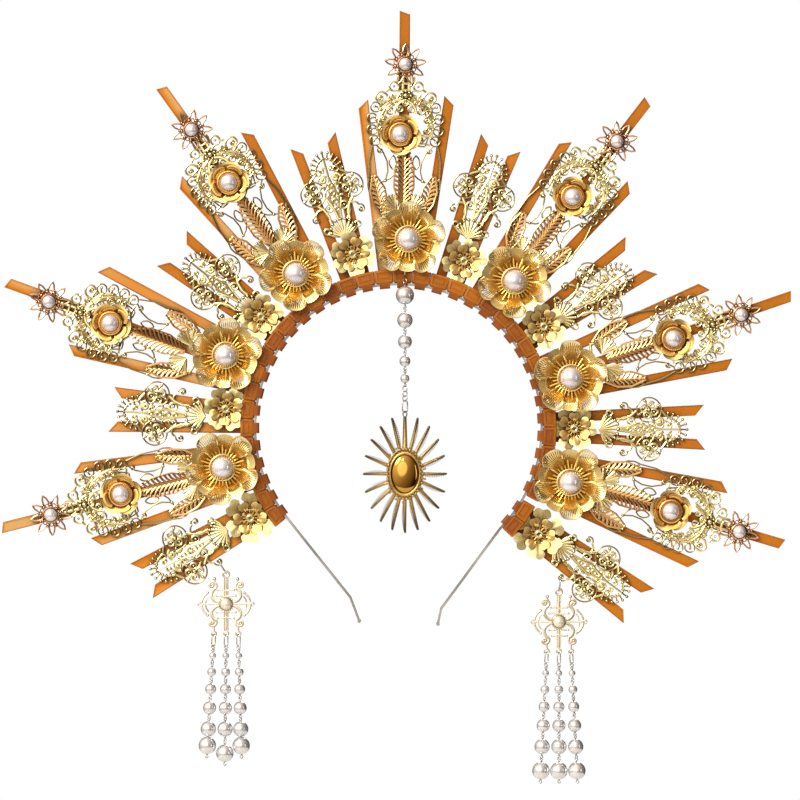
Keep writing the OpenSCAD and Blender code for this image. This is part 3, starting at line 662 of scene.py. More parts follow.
def ears_mesh():
    """The ribbed ear up a spray's middle, and the feathers that lie over the rays beside it."""
    bm = new_metal()
    for n in range(12):
        y = 6.5 + 2.1 * n
        reach = 4.6 * math.sin(math.pi * (0.24 + 0.6 * n / 11))
        bend(bm, (0, y), (reach, y + 4), 0.7, (1.25, 1.0), 0.9)
    bend(bm, (1.2, 6.5), (0.8, 33.5), -3.9, (1.0, 0.9), 0.7)
    mirror(bm)
    bend(bm, (0, 7), (0, 33), 0.0, (1.7, 1.6), 0.3)
    # the ear's right half is painted darker than its left: painted shade, as the light falls from the
    # left
    brown = bm.verts.layers.float["inner"]
    for vert in bm.verts:
        vert[brown] = 1.0 if vert.co.x > 0.5 else 0.25
    for side in (1, -1):
        feather(bm, (side * 8.6, 1.6), (side * 13.8, 20.4), 3.6, 9, (1.15, 0.9))
        bend(bm, (side * 8.2, 3), (side * 12.6, 20.4), side * 2.6, thin, 0.5)
        bend(bm, (side * 9.6, 2.4), (side * 14.6, 19.6), side * -2.8, thin, 0.5)
    return mesh_of(bm, "ears")


def painted_side_shade(add, amount):
    """An amount on what faces neither front nor back, and nothing on what does, for painting shade on
    the sides.
    """
    where = add("ShaderNodeTexCoord")
    parts = add("ShaderNodeSeparateXYZ", [("Vector", where.outputs["Normal"])])
    flatness = add("ShaderNodeMath", [(0, parts.outputs["Y"])], operation="ABSOLUTE")
    return between(add, flatness.outputs["Value"], 0.42, 0.97, amount, 0)


def gilt(name, bright, deep, roughness, reach=0.002, marks=700, inner=None, rim=0.75, metallic=1.0):
    """Polished gilt metal, brighter on what stands out, with painted shade and some patina, deep and
    warm, in its hollows.

    Where inner is given, the metal turns to that colour by the amount held in the mesh. rim is how
    dark the shade is that is painted on what faces neither front nor back, such as the sides of wires.
    """
    material, surface, add = shader(name, metallic, roughness)
    worn = noise(add, marks, 3)
    duller = [c * 0.86 + d * 0.14 for c, d in zip(bright, deep)]
    tint = blend_of(add, between(add, worn, 0.35, 0.7), bright, duller)
    if inner:
        amount = add("ShaderNodeAttribute", attribute_name="inner")
        tint = blend_of(add, amount.outputs["Fac"], tint, inner)
    # painted shade, with some patina: deep and warm where the hollows close in
    tint = blend_of(add, between(add, hollows(add, reach), 0.25, 0.85), deep, tint)
    # painted shade on the sides of wires and petals, where they face neither front nor back
    tint = blend_of(add, painted_side_shade(add, rim), tint, [c * 0.3 for c in deep])
    finish(add, surface, tint, worn, roughness * 0.7, roughness * 1.5, 0.10,
           noise(add, marks * 0.3, 4))
    return material


filigree_gilt = gilt("filigree_gilt", (1.0, 0.84, 0.41), (0.32, 0.17, 0.025), 0.2,
                     inner=(0.36, 0.27, 0.12), rim=0.96, metallic=0.95)
# ear_gilt's second colour is the painted shade on the right half of the ear
ear_gilt = gilt("ear_gilt", (0.90, 0.54, 0.22), (0.36, 0.13, 0.02), 0.24, inner=(0.50, 0.25, 0.09))
spray, ears = spray_mesh(), ears_mesh()
for i, row in enumerate(long_rays):
    place = on_ray(row[SPRAY][0] - spray_line, row[SPRAY][1], sheet_middle)
    add_piece(f"spray_{i + 1}_wirework", spray, place, filigree_gilt, "crown", "gilt_filigree",
              f"spray_{i + 1}")
    add_piece(f"spray_{i + 1}_ears", ears, place, ear_gilt, "crown", "gilt_filigree")

# Filigree leaves: pressed gilt sheets over each pair of short rays. A ribbed fan at the foot, a
# big loop full of scrolls on each side, hooks at the corners and bead-tipped sprouts at the top.
leaf_height = 39.7


def leaf_mesh():
    """The openwork of a leaf, from its foot up to the tip of its middle sprout."""
    bm = new_metal()
    # collar of the fan
    bend(bm, (0.4, 0.2), (6.6, 2.0), -0.8, stout)
    hoop(bm, (7.2, 3.4), 1.3)
    grain(bm, (5.2, 4.4), 0.8, 0.3)
    # half of the lance up the middle, with the rings and scrolls beside it
    bend(bm, (0, 8.0), (0, 27.4), -2.2, thin, 0.25)
    bend(bm, (0.5, 7), (3.2, 17.2), 0.6, stout)
    hoop(bm, (3.7, 13.6), 1.7)
    grain(bm, (3.7, 13.6), 0.75, 0.1)
    bend(bm, (4.4, 6.4), (8.4, 16.0), 1.4, stout)
    bend(bm, (3.0, 6.8), (5.6, 12.2), -0.8)
    curl(bm, (2.6, 17.6), 60, 1.5, 1)
    curl(bm, (2.4, 22.0), 20, 1.4, 1)
    bend(bm, (2.2, 17.8), (4.4, 18.4), 0.4)
    # hook at the lower corner
    bend(bm, (6.6, 13.8), (10.2, 11.8), 0.8)
    curl(bm, (10.0, 11.9), 5, 2.0, -1, fine, quarters=6, bead=0.7)
    # big loop with a clover of scrolls in it
    loop = (8.9, 21.6)
    hoop(bm, loop, 5.7, fine, steps=26)
    for angle in (20, 110, 200, 290):
        centre = polar(2.6, angle, loop)
        hoop(bm, centre, 1.45, thin, 0.1, steps=12)
        grain(bm, centre, 0.7, 0.15)
        bend(bm, polar(0.6, angle + 45, loop), polar(5.6, angle + 45, loop), 0.4)
        grain(bm, polar(4.6, angle + 45, loop), 0.75, 0.2)
    grain(bm, loop, 1.1, 0.35)
    bend(bm, (0.4, 22.6), (3.6, 20.8), 0.5)
    # scrolled shoulder under an arch, from which bead-tipped sprouts stand out
    curl(bm, (5.4, 26.6), 100, 2.0, 1, stout, bead=0.85)
    curl(bm, (0.9, 27.6), 60, 1.5, -1, bead=0.7)
    curl(bm, (0.9, 31.6), 50, 1.2, -1)
    hoop(bm, (4.3, 30.6), 1.2, steps=12)
    last = (9.0, 27.2)
    for n in range(6):
        angle = 14 + 15.2 * n
        foot = polar((5.6, 8.2), angle, (0, 28))
        out = polar((1 / 5.6, 1 / 8.2), angle).normalized()
        tip = foot + out * (2.2 + 0.16 * n)
        bend(bm, last, foot, -0.15)
        bend(bm, foot - out * 0.8, tip, 0, fine)
        grain(bm, tip, 0.72, 0.1)
        grain(bm, foot, 0.62, 0.2)
        last = foot
    mirror(bm)
    # ribbed fan, upright and rings in the middle
    for n in range(-4, 5):
        tip = polar(8.6 - 0.14 * n * n, 90 - 15 * n, (0, -1))
        bend(bm, (0, -1), tip, 0.0, (1.4, 1.0), 0.35)
        grain(bm, tip, 0.85, 0.4)
    bend(bm, (0, 7), (0, 36), 0, thin, 0.1)
    for y, radius in ((12.6, 0.9), (16.2, 1.1), (20.2, 1.0), (24.0, 0.8)):
        hoop(bm, (0, y), radius, thin, 0.3)
    return mesh_of(bm, "leaf")


leaf = leaf_mesh()
for i, row in enumerate(leaf_rows):
    place = on_ray(row[LEAF][0] - leaf_height, row[LEAF][1], sheet_middle)
    add_piece(f"leaf_{i + 1}_openwork", leaf, place, filigree_gilt, "crown", "gilt_filigree",
              f"leaf_{i + 1}")

# Big flowers: five broad pressed petals, ribbed, with comb-like slots inside a closed scalloped
# rim, over a second layer turned between them, round a collar of ribs and a bezel with a pearl.
big_radius = 17.2
flower_foot = 0.75


def petal(bm, inner, outer, spread, columns, rows, height, curl_in, thick, turn, notch, warmth,
          neck=0.55, flare=0.5, cleft=0.0, rib=0.0, slots=None):
    """A petal that fans out from the flower's middle between two radii.

    spread is half its angle seen from a point near its root, and height gives the rise at a share
    of its length. warmth is the amount of the middle's colour at its root and at its rim. It starts
    at a share neck of its spread, and its rim has a cleft in the middle. rib is the depth of its
    ribs, and slots is the span of rows that are cut through.
    """
    warm = bm.verts.layers.float["inner"]
    grid = bmesh.ops.create_grid(bm, x_segments=columns, y_segments=rows, size=1)["verts"]
    spots = {}
    for vert in grid:
        u, v = vert.co.x, (vert.co.y + 1) / 2
        column, row = round((u + 1) / 2 * columns), round(v * rows)
        spots[vert] = (column, row)
        ridge = 1 if column % 2 else -1
        if slots and 0 < column < columns:
            u += 0.25 / columns * ridge
        angle = math.radians(spread) * u * (neck + (1 - neck) * v ** flare)
        shape = 1 - notch * abs(u) ** 3 - cleft * v * math.exp(-(u / 0.28) ** 2)
        reach = (outer - inner) * v * shape - 0.16 * rib * ridge
        lift = height(v) - curl_in * u * u * v + rib * ridge * math.sin(math.pi * min(1, v * 1.1))
        vert.co = ((inner * 0.55 + reach) * math.sin(angle), inner + reach * math.cos(angle), lift)
        vert[warm] = warmth[0] + (warmth[1] - warmth[0]) * min(1, v * 1.25)
        if rib and column % 2 and v < 0.92:
            vert[warm] += 0.45
        if slots and slots[0] <= row <= slots[1]:
            vert[warm] += 0.3
    faces, cut = [], []
    for face in {face for vert in grid for face in vert.link_faces}:
        column = min(spots[vert][0] for vert in face.verts)
        row = min(spots[vert][1] for vert in face.verts)
        slotted = slots and column % 2 and slots[0] <= row < slots[1] and 1 < column < columns - 2
        (cut if slotted else faces).append(face)
    bmesh.ops.rotate(bm, verts=grid, cent=(0, 0, 0), matrix=Matrix.Rotation(math.radians(turn), 3, "Z"))
    bmesh.ops.delete(bm, geom=cut, context="FACES")
    bmesh.ops.recalc_face_normals(bm, faces=faces)
    bmesh.ops.solidify(bm, geom=faces, thickness=thick)


def turned(bm, profile, steps=20):
    """A round piece turned from its profile, a list of (radius, height)."""
    verts = [bm.verts.new((radius, 0, height)) for radius, height in profile]
    edges = [bm.edges.new(pair) for pair in zip(verts, verts[1:])]
    swing(bm, verts + edges, (0, 0, 0), 2 * math.pi, steps, True)
    bmesh.ops.remove_doubles(bm, verts=bm.verts, dist=0.0005)


def bezel(bm, radius, floor, top, beads=0):
    """A cup of sheet metal with a rolled lip, and a round of granules at its foot."""
    turned(bm, [(0, floor), (radius - 0.75, floor), (radius - 0.55, top - 0.2), (radius - 0.25, top),
                (radius + 0.1, top - 0.25), (radius + 0.05, floor - 0.4), (radius - 1.2, floor - 1.2),
                (0, floor - 1.2)], 28)
    for n in range(beads):
        grain(bm, polar(radius + 0.3, 360 * n / beads), 0.36, floor + 0.2, 6)


def big_flower_mesh(seed):
    """A big flower, a little different in the lift of its petals each time."""
    rng = random.Random(seed)
    bm = new_metal()
    for n in range(5):
        rise = rng.uniform(-0.25, 0.25)
        petal(bm, 3.2, 15.2, 24, 20, 10, lambda v: 1.9 + 1.6 * v + 1.2 * v ** 2,
              0.4, 0.3, 72 * n + 36, 0.2, (1, 0.3), rib=0.2)
        petal(bm, 4.2, big_radius, 27, 24, 14,
              lambda v: 3.3 + (2.8 + rise) * v ** 1.2 + 0.8 * max(0, v - 0.86) / 0.14,
              -1.0, 0.36, 72 * n + rng.uniform(-2, 2), 0.24, (1.1, -0.1), rib=0.2, slots=(9, 13))
    for n in range(30):
        far = 10.4 if n % 2 else 8.4
        bend(bm, polar(5, 12 * n), polar(far, 12 * n), 0.0, (0.7, 0.55), 4.65, 5)
    bezel(bm, 6.2, 4.4, 6.1)
    turned(bm, [(0, flower_foot), (4.9, flower_foot), (4.9, 4.2), (0, 4.2)])
    return mesh_of(bm, "big_flower", 35)


flower_gilt = gilt("flower_gilt", (1.0, 0.88, 0.48), (0.76, 0.42, 0.08), 0.25, 0.003,
                   inner=(1.0, 0.62, 0.11), rim=0.35, metallic=0.8)
for i, row in enumerate(long_rays):
    add_piece(f"big_flower_{i + 1}_petals", big_flower_mesh(i), on_ray(*row[BIG]), flower_gilt,
              "crown", "gilt_flowers", f"big_flower_{i + 1}")

# Cup flowers: an open cup of rounded petals that curl up round a bezel, in warm polished gilt,
# fixed over the middle of each spray.
cup_radius = 9.6


def cup_flower_mesh(seed):
    """A cup flower: five outer petals, five inner lobes and a bezel."""
    rng = random.Random(seed)
    bm = new_metal()
    for n in range(5):
        petal(bm, 1.6, cup_radius + rng.uniform(-0.2, 0.2), 37, 12, 10,
              lambda v: 1.7 + 0.9 * v + 2.2 * v ** 2 - 0.9 * max(0, v - 0.8) / 0.2,
              -0.5, 0.36, 72 * n + 36, 0.14, (0.9, -0.15))
    for n in range(5):
        petal(bm, 2.2, 8.3, 37, 12, 10, lambda v: 2.5 + 3.6 * v ** 1.3 - 0.8 * max(0, v - 0.8) / 0.2,
              0.3, 0.4, 72 * n + 12, 0.16, (1.1, 0.55))
    bezel(bm, 5.4, 3.6, 5.6)
    return mesh_of(bm, "cup_flower", 40)


cup_gilt = gilt("cup_gilt", (1.0, 0.77, 0.31), (0.60, 0.22, 0.015), 0.23, 0.003,
                inner=(0.98, 0.50, 0.05), rim=0.5, metallic=0.93)
for i, row in enumerate(long_rays):
    add_piece(f"cup_flower_{i + 1}_petals", cup_flower_mesh(i), on_ray(*row[CUP]), cup_gilt,
              "crown", "gilt_flowers", f"cup_flower_{i + 1}")

# Star flowers: nine pointed loops of thin wire round a granulated copper-gilt rosette that holds
# a small pearl, near the tip of each long ray.
star_points = 9
star_radius = 9.4
star_lift = 0.725
star_size = (0.92, 0.8)


def star_mesh():
    """The wire loops of a star."""
    bm = bmesh.new()
    for n in range(star_points):
        way = polar(1, 90 + 360 * n / star_points)
        across = Vector((-way.y, way.x))
        tip = way * star_radius
        for side in (1, -1):
            waist = way * 6.1 + across * side * 1.25
            bend(bm, way * 3.8 + across * side * 0.5, waist, side * 0.3, star_size, 0.9)
            bend(bm, waist, tip, side * 0.35, star_size, 0.9)
        grain(bm, tip, 0.32, 0.9, 6)
    return mesh_of(bm, "star")


def rosette_mesh():
    """The granulated middle of a star, with its bezel."""
    bm = bmesh.new()
    for n in range(star_points):
        angle = 90 + 360 * n / star_points
        grain(bm, polar(4.6, angle + 20), 0.8, 1.2)
        grain(bm, polar(5.7, angle + 20), 0.55, 1.2)
        hoop(bm, polar(4.5, angle), 0.85, (0.5, 0.6), 1.0, 5, 9)
    bezel(bm, 3.65, 1.5, 2.9, 18)
    return mesh_of(bm, "rosette")


star_wire = gilt("star_wire", (0.74, 0.43, 0.26), (0.22, 0.09, 0.035), 0.25)
copper_gilt = gilt("copper_gilt", (0.90, 0.54, 0.29), (0.36, 0.13, 0.04), 0.22)
star, rosette = star_mesh(), rosette_mesh()
for i, row in enumerate(long_rays):
    place = on_ray(*row[STAR], star_lift)
    add_piece(f"star_{i + 1}_loops", star, place, star_wire, "crown", "copper_wire", f"star_{i + 1}")
    add_piece(f"star_{i + 1}_rosette", rosette, place, copper_gilt, "crown", "copper_wire")

# Small flowers: two layers of slightly domed, mirror-bright petals and a ribbed hub with a hole in
# it, at the foot of each leaf.


def small_flower_mesh(width, seed):
    """A small flower with six petals in each layer."""
    rng = random.Random(seed)
    bm = new_metal()
    for n in range(6):
        petal(bm, 2.6, width / 2, 31, 14, 10, lambda v: 2.0 + 1.5 * v + 0.35 * math.sin(math.pi * v),
              0.32, 0.36, 60 * n + rng.uniform(-3, 3), 0.3, (1.0, -0.1), 0.45, 1.2, 0.12)
        petal(bm, 1.6, 7.9 + rng.uniform(-0.3, 0.3), 29, 12, 9,
              lambda v: 3.5 + 1.8 * v + 0.45 * math.sin(math.pi * v),
              0.4, 0.36, 60 * n + 30 + rng.uniform(-4, 4), 0.32, (1, 0.4), 0.45, 0.9, 0.08)
    for n in range(12):
        bend(bm, polar(1.1, 30 * n), polar(3.4, 30 * n), 0.0, (0.6, 0.6), 4.9, 5)
    turned(bm, [(0.75, 3.6), (0.75, 5.2), (1.2, 5.5), (2.0, 5.1), (2.6, 4.2), (2.6, 3.6), (0.75, 3.6)])
    turned(bm, [(0, flower_foot), (4.2, flower_foot), (4.2, 2.4), (0, 2.4)], 18)
    return mesh_of(bm, "small_flower", 40)


bright_gilt = gilt("bright_gilt", (1.0, 0.87, 0.43), (0.15, 0.05, 0.005), 0.14, 0.0035,
                   inner=(0.98, 0.50, 0.07), rim=0.85, metallic=0.86)
for i, row in enumerate(leaf_rows):
    add_piece(f"small_flower_{i + 1}_petals", small_flower_mesh(row[SMALL_WIDTH], i),
              on_ray(*row[SMALL]), bright_gilt, "crown", "gilt_flowers", f"small_flower_{i + 1}")

# Set pearls: white, faintly pink glass pearls with flat backs, held in the bezels of the stars,
# cup flowers and big flowers. Their lustre comes from a part-mirror body under a clear coat.


def pearl_finish(name, body_colour, bloom, lustre):
    """Pearl: a softly clouded body under a clear coat; lustre is how much of a mirror it is."""
    material, surface, add = shader(name, lustre, 0.24, 0.8)
    surface.inputs["Coat Roughness"].default_value = 0.04
    surface.inputs["Specular IOR Level"].default_value = 0.7
    swirl = noise(add, 180, 4)
    colour = blend_of(add, between(add, swirl, 0.3, 0.7), body_colour, bloom)
    finish(add, surface, colour, swirl, 0.18, 0.32, 0.02)
    return material


white_pearl = pearl_finish("white_pearl", (0.93, 0.89, 0.89), (0.86, 0.78, 0.84), 0.45)
for node, key, width, back in (("star_pearls", STAR, 6, 2.6), ("cup_pearls", CUP, 8, 3.1),
                               ("flower_pearls", BIG, 10, 4.1)):
    bm = bmesh.new()
    middle = Matrix.Translation((0, 0, back + 0.2 * width))
    for row in long_rays:
        pearl = ball(bm, width / 2, middle)
        for vert in pearl:
            vert.co.z = max(vert.co.z, back)
        bmesh.ops.transform(bm, verts=pearl, matrix=on_ray(*row[key]))
    add_piece(node + "_set", mesh_of(bm, node, 60), here, white_pearl, "crown", "set_pearls", node)

# Pendant chain: five drilled pearls, largest at the top, on wire pins with a ring bent at each
# end, then three small rings and an oval one that carries the sun. A bent wire hooks the chain
# over the head of the middle tie.
pin_wire, link_wire, eye_radius = 0.22, 0.3, 0.75
pearl_clear, wire_clear = 0.12, 0.1
wrap_radius, wrap_wire = 0.33, 0.26
eye_step = 2 * eye_radius - 2 * pin_wire - wire_clear
pendant_widths = (8.4, 7.1, 6.4, 5, 4.1)
pendant_gaps = (3.7, 3.15, 3.2, 3.4)
pendant_x, pendant_top, pendant_front = 3, 60.7, 6.9
pendant_place = front_view @ Matrix.Translation((pendant_x, pendant_top, pendant_front))


def along(place, height):
    """A place, moved along its string."""
    return place @ Matrix.Translation((0, height, 0))


def rod(bm, place, length, foot, head, segments):
    """A straight rod or disc along z, from one radius to another."""
    bmesh.ops.create_cone(bm, cap_ends=True, segments=segments, radius1=foot, radius2=head,
                          depth=length, matrix=place)


def wire_ring(whole, place, radius, wire, turn):
    """A closed ring, upright in front view and turned about its upright."""
    part = bmesh.new()
    hoop(part, (0, 0), radius, (2 * wire, 2 * wire), 0, 8, 18)
    put(whole, part, place @ Matrix.Rotation(math.radians(turn), 4, "Y"))


def oval_ring(whole, place, width, height, wire, turn):
    """A closed oval ring that hangs from the middle of its upper end."""
    part = bmesh.new()
    half = width / 2
    geometry = wire_section(part, Vector((half, -half, 0)), Vector((1, 0, 0)), (2 * wire, 2 * wire), 8)
    for centre, way in ((-half, -1), (half - height, 1)):
        geometry = swing(part, geometry, (0, centre, 0), math.pi, 10)
        geometry = draw_out(part, geometry, (0, way * (height - width), 0))
    bmesh.ops.remove_doubles(part, verts=part.verts, dist=0.01)
    put(whole, part, place @ Matrix.Rotation(math.radians(turn), 4, "Y"))


def eye_pin(whole, place, top, bottom, turn):
    """A wire with a ring bent at each end, its ends wound round the wire beside the rings."""
    part = bmesh.new()
    rod(part, Matrix.Translation((0, 0, (top + bottom) / 2)), top - bottom - 2 * eye_radius,
        pin_wire, pin_wire, 8)
    for end, way in ((top, -1), (bottom, 1)):
        wire_ring(whole, along(place, end), eye_radius, pin_wire, turn)
        for n in range(2):
            lift = end + way * (eye_radius + 0.06 + 0.24 * n)
            hoop(part, (0, 0), wrap_radius, (wrap_wire, wrap_wire), lift, 6, 10)
    put(whole, part, place @ upright.inverted())


def drilled_pearl(whole, place, width):
    """A pearl with a hole down through it."""
    part = bmesh.new()
    hole = pin_wire + 0.08
    first = math.degrees(math.acos(2 * hole / width))
    steps = 15
    profile = [(hole, width * 0.3)]
    profile += [polar(width / 2, first * (1 - 2 * n / steps)) for n in range(steps + 1)]
    profile += [(hole, -width * 0.3), (hole, width * 0.3)]
    turned(part, profile, 26)
    put(whole, part, place @ upright.inverted())


def eye_off(width, length):
    """Distance of an eye from its pearl's middle, where that length is clear beside the pearl."""
    return width / 2 + (length - eye_step) / 2


def string_up(widths, lengths):
    """Middles of the pearls on a string, downward from the first."""
    heights = [0.0]
    for n, length in enumerate(lengths):
        heights.append(heights[-1] - widths[n] / 2 - length - widths[n + 1] / 2)
    return heights


silver, surface, add = shader("silver_wire", 1.0, 0.22)
tarnish = between(add, noise(add, 120, 4), 0.35, 0.7)
finish(add, surface, blend_of(add, tarnish, (0.80, 0.79, 0.77), (0.55, 0.52, 0.47)),
       noise(add, 900, 3), 0.14, 0.34, 0.1)
grey_pearl = pearl_finish("grey_pearl", (0.84, 0.82, 0.82), (0.74, 0.73, 0.76), 0.65)

heights = string_up(pendant_widths, pendant_gaps)
end_off = pearl_clear + eye_radius + pin_wire
pendant_end = heights[-1] - pendant_widths[-1] / 2 - end_off
pearls, links = bmesh.new(), bmesh.new()
for n, (height, width) in enumerate(zip(heights, pendant_widths)):
    drilled_pearl(pearls, along(pendant_place, height), width)
    top = height + (eye_off(width, pendant_gaps[n - 1]) if n else width / 2 + end_off)
    bottom = height - eye_off(width, pendant_gaps[n]) if n < 4 else pendant_end
    eye_pin(links, pendant_place, top, bottom, -45 if n % 2 else 45)
small_ring = 1.38
ring_step = 2 * small_ring - 2 * pin_wire - wire_clear
first_ring = pendant_end - eye_radius + 2 * pin_wire + wire_clear - small_ring
for n in range(3):
    wire_ring(links, along(pendant_place, first_ring - n * ring_step), small_ring, pin_wire,
              45 if n % 2 else -45)
oval_top = first_ring + small_ring - 3 * ring_step + link_wire - pin_wire
oval_length = 5.7
oval_ring(links, along(pendant_place, oval_top), 3.2, oval_length, link_wire, 45)
add_piece("chain_pearls_strung", mesh_of(pearls, "chain_pearls"), here, grey_pearl, "crown",
          "drilled_pearls", "chain_pearls")
add_piece("chain_links_wire", mesh_of(links, "chain_links"), here, silver, "crown",
          "silver_wire", "chain_links")

# hanger: hooked over the middle tie's head, down in front of it and forward to a closed eye
hanger_top = head_radius + head_size[1] + wire_clear + link_wire
hanger_front = head_size[2] / 2 + wire_clear + link_wire
hanger_eye = 1.1
hanger_eye_at = (pendant_top + pendant_widths[0] / 2 + pearl_clear + 2 * eye_radius
                 - link_wire - wire_clear + hanger_eye)
corners = [Vector((pendant_x, height, front)) for height, front in (
    (hanger_top, strap_thick / 2 + 0.5), (hanger_top, hanger_front),
    (hanger_eye_at + 2.6, hanger_front), (hanger_eye_at + hanger_eye, pendant_front))]
hanger = bmesh.new()
for a, b in zip(corners, corners[1:]):
    turn = (b - a).to_track_quat("Z", "Y").to_matrix().to_4x4()
    rod(hanger, Matrix.Translation((a + b) / 2) @ turn, (b - a).length, link_wire, link_wire, 10)
    ball(hanger, link_wire, Matrix.Translation(a), 10, 8)
wire_ring(hanger, Matrix.Translation((pendant_x, hanger_eye_at, pendant_front)), hanger_eye,
          link_wire, -45)
add_piece("chain_hanger_wire", mesh_of(hanger, "hanger"), front_view, copper_gilt, "crown",
          "silver_wire")

# Sun: a cast oval frame with a beaded border round a polished dome, twenty tapering rays that are
# ridged or granulated, one of them a smooth stem that ends in a small eye.
sun_rays = 20
grained_rays = (1, 9, 10, 11, 19)
sun_half = (19.3, 27.1)
base_half = (8.2, 12)
dome_half = (6.3, 9)
border_beads = 34
ray_foot, ray_end = 1.02, 0.72
stem_width, stem_end = 1.25, 0.75
sun_middle = -21.2
sun_place = front_view @ Matrix.Translation((pendant_x, sun_middle, pendant_front))
sun_eye, sun_wire = 1.3, 0.25
sun_eye_at = (pendant_top + oval_top - oval_length - sun_middle
              + link_wire + sun_wire + wire_clear - sun_eye)


def sun_ray(bm, root, tip, grained):
    """A half-round ray from root to tip, a little bowed, with a rounded end and a worked face."""
    way = tip - root
    length = way.length - 0.7
    part = bmesh.new()
    lying = Matrix.Translation((length / 2, 0, 0)) @ Matrix.Rotation(math.pi / 2, 4, "Y")
    rod(part, lying, length, ray_foot, ray_end, 12)
    ball(part, 0.74, Matrix.Translation((length, 0, 0)), 12, 8)
    bmesh.ops.scale(part, verts=part.verts, vec=(1, 1, 0.75))
    count = int(length / (0.95 if grained else 0.8))
    for n in range(1, count):
        x = n * length / count
        half = 1.03 - 0.25 * x / length
        if grained:
            for side in (-0.42, 0.42):
                grain(part, (x + 0.2 * side, side), 0.42, 0.55, 7)
        else:
            bend(part, (x - 0.2, -half), (x + 0.2, half), 0.12, (0.34, 0.5), 0.6, 5)
    for vert in part.verts:
        share = vert.co.x / length
        vert.co.y *= 0.8 + 0.3 * math.sin(math.pi * min(max(share, 0), 1))
        vert.co.y -= 2.6 * share * (1 - share)
    turn = Matrix.Rotation(math.atan2(way.y, way.x), 4, "Z")
    put(bm, part, Matrix.Translation((*root, 0)) @ turn)


def oval(bm, half, size, lift):
    """A closed oval of wire that lies flat."""
    part = bmesh.new()
    hoop(part, (0, 0), 1, (size[0] / half[0], size[1]), 0, 8, 56)
    put(bm, part, Matrix.Translation((0, 0, lift)) @ Matrix.Diagonal((*half, 1, 1)))


sun = bmesh.new()
for k in range(1, sun_rays):
    angle = 90 + 360 * k / sun_rays
    sun_ray(sun, polar(base_half, angle) * 0.88, polar(sun_half, angle), k in grained_rays)
rod(sun, Matrix.Diagonal((*base_half, 1, 1)), 1.4, 1, 0.94, 64)
oval(sun, (6.85, 9.6), (1.1, 1.3), 1.1)
oval(sun, (8.0, 11.5), (0.7, 0.8), 0.6)
for n in range(border_beads):
    angle = 360 * n / border_beads
    grain(sun, polar((8.15, 11.35), angle), 0.72, 0.95)
    grain(sun, polar((7.45, 10.45), angle + 5.16), 0.42, 1.25, 7)
    if n % 2:
        grain(sun, polar((9.3, 12.9), angle), 0.6, 0.2)
stem_foot, stem_top = 11, sun_eye_at - sun_eye
rod(sun, along(here, (stem_top + stem_foot) / 2) @ upright.inverted(), stem_top - stem_foot,
    stem_width, stem_end, 14)
wire_ring(sun, along(here, sun_eye_at), sun_eye, sun_wire, -45)
dome = bmesh.new()
for vert in ball(dome, 1, around=64, rows=32):
    vert.co = (dome_half[0] * vert.co.x, dome_half[1] * vert.co.y, 0.6 + 2.3 * max(vert.co.z, 0))

sun_metal, surface, add = shader("sun_gilt", 1.0, 0.26)
where = add("ShaderNodeTexCoord")
from_middle = add("ShaderNodeMapping", [("Vector", where.outputs["Object"])])
wide, high = (half / 1000 for half in sun_half)
sun_at = sun_place.translation
from_middle.inputs["Location"].default_value = (-sun_at.x / wide, 0, -sun_at.z / high)
from_middle.inputs["Scale"].default_value = (1 / wide, 0, 1 / high)
away = add("ShaderNodeVectorMath", [(0, from_middle.outputs["Vector"])], operation="LENGTH")
worn = noise(add, 500, 4)
outward = blend_of(add, between(add, away.outputs["Value"], 0.45, 1.0), (0.95, 0.64, 0.22),
                   (0.11, 0.075, 0.035))
spotted = blend_of(add, between(add, worn, 0.45, 0.75, 0, 0.5), outward, (0.30, 0.20, 0.09))
# painted shade, with some patina, in the hollows of the rays and border, and painted shade on their
# sides
worked = blend_of(add, between(add, hollows(add, 0.0015), 0.2, 0.8), (0.22, 0.12, 0.03), spotted)
finish(add, surface, blend_of(add, painted_side_shade(add, 0.85), worked, (0.12, 0.06, 0.015)), worn,
       0.2, 0.42, 0.15)
dome_metal = gilt("dome_gilt", (0.66, 0.36, 0.07), (0.40, 0.17, 0.02), 0.1, 0.004, 300, rim=0.6)
add_piece("sun_rays_cast", mesh_of(sun, "sun", 45), sun_place, sun_metal, "sun", "sun_gilt", "sun")
add_piece("sun_dome_polished", mesh_of(dome, "dome", 60), sun_place, dome_metal, "sun", "sun_gilt")

# Plates: stamped pale-gilt connectors, one above each drop: an upright with cross bars, four
# scrolls, a pair of crescents and a cross bar with end rings, round a small cream cabochon.
plate_middle = -13.7
plate_places = {"left": (-79.2, -67.5), "right": (73.8, -75.6)}
strand_x, strand_y = 5.6, -27.3
strip, bar, line = (1.7, 0.62), (0.95, 0.7), (0.7, 0.6)


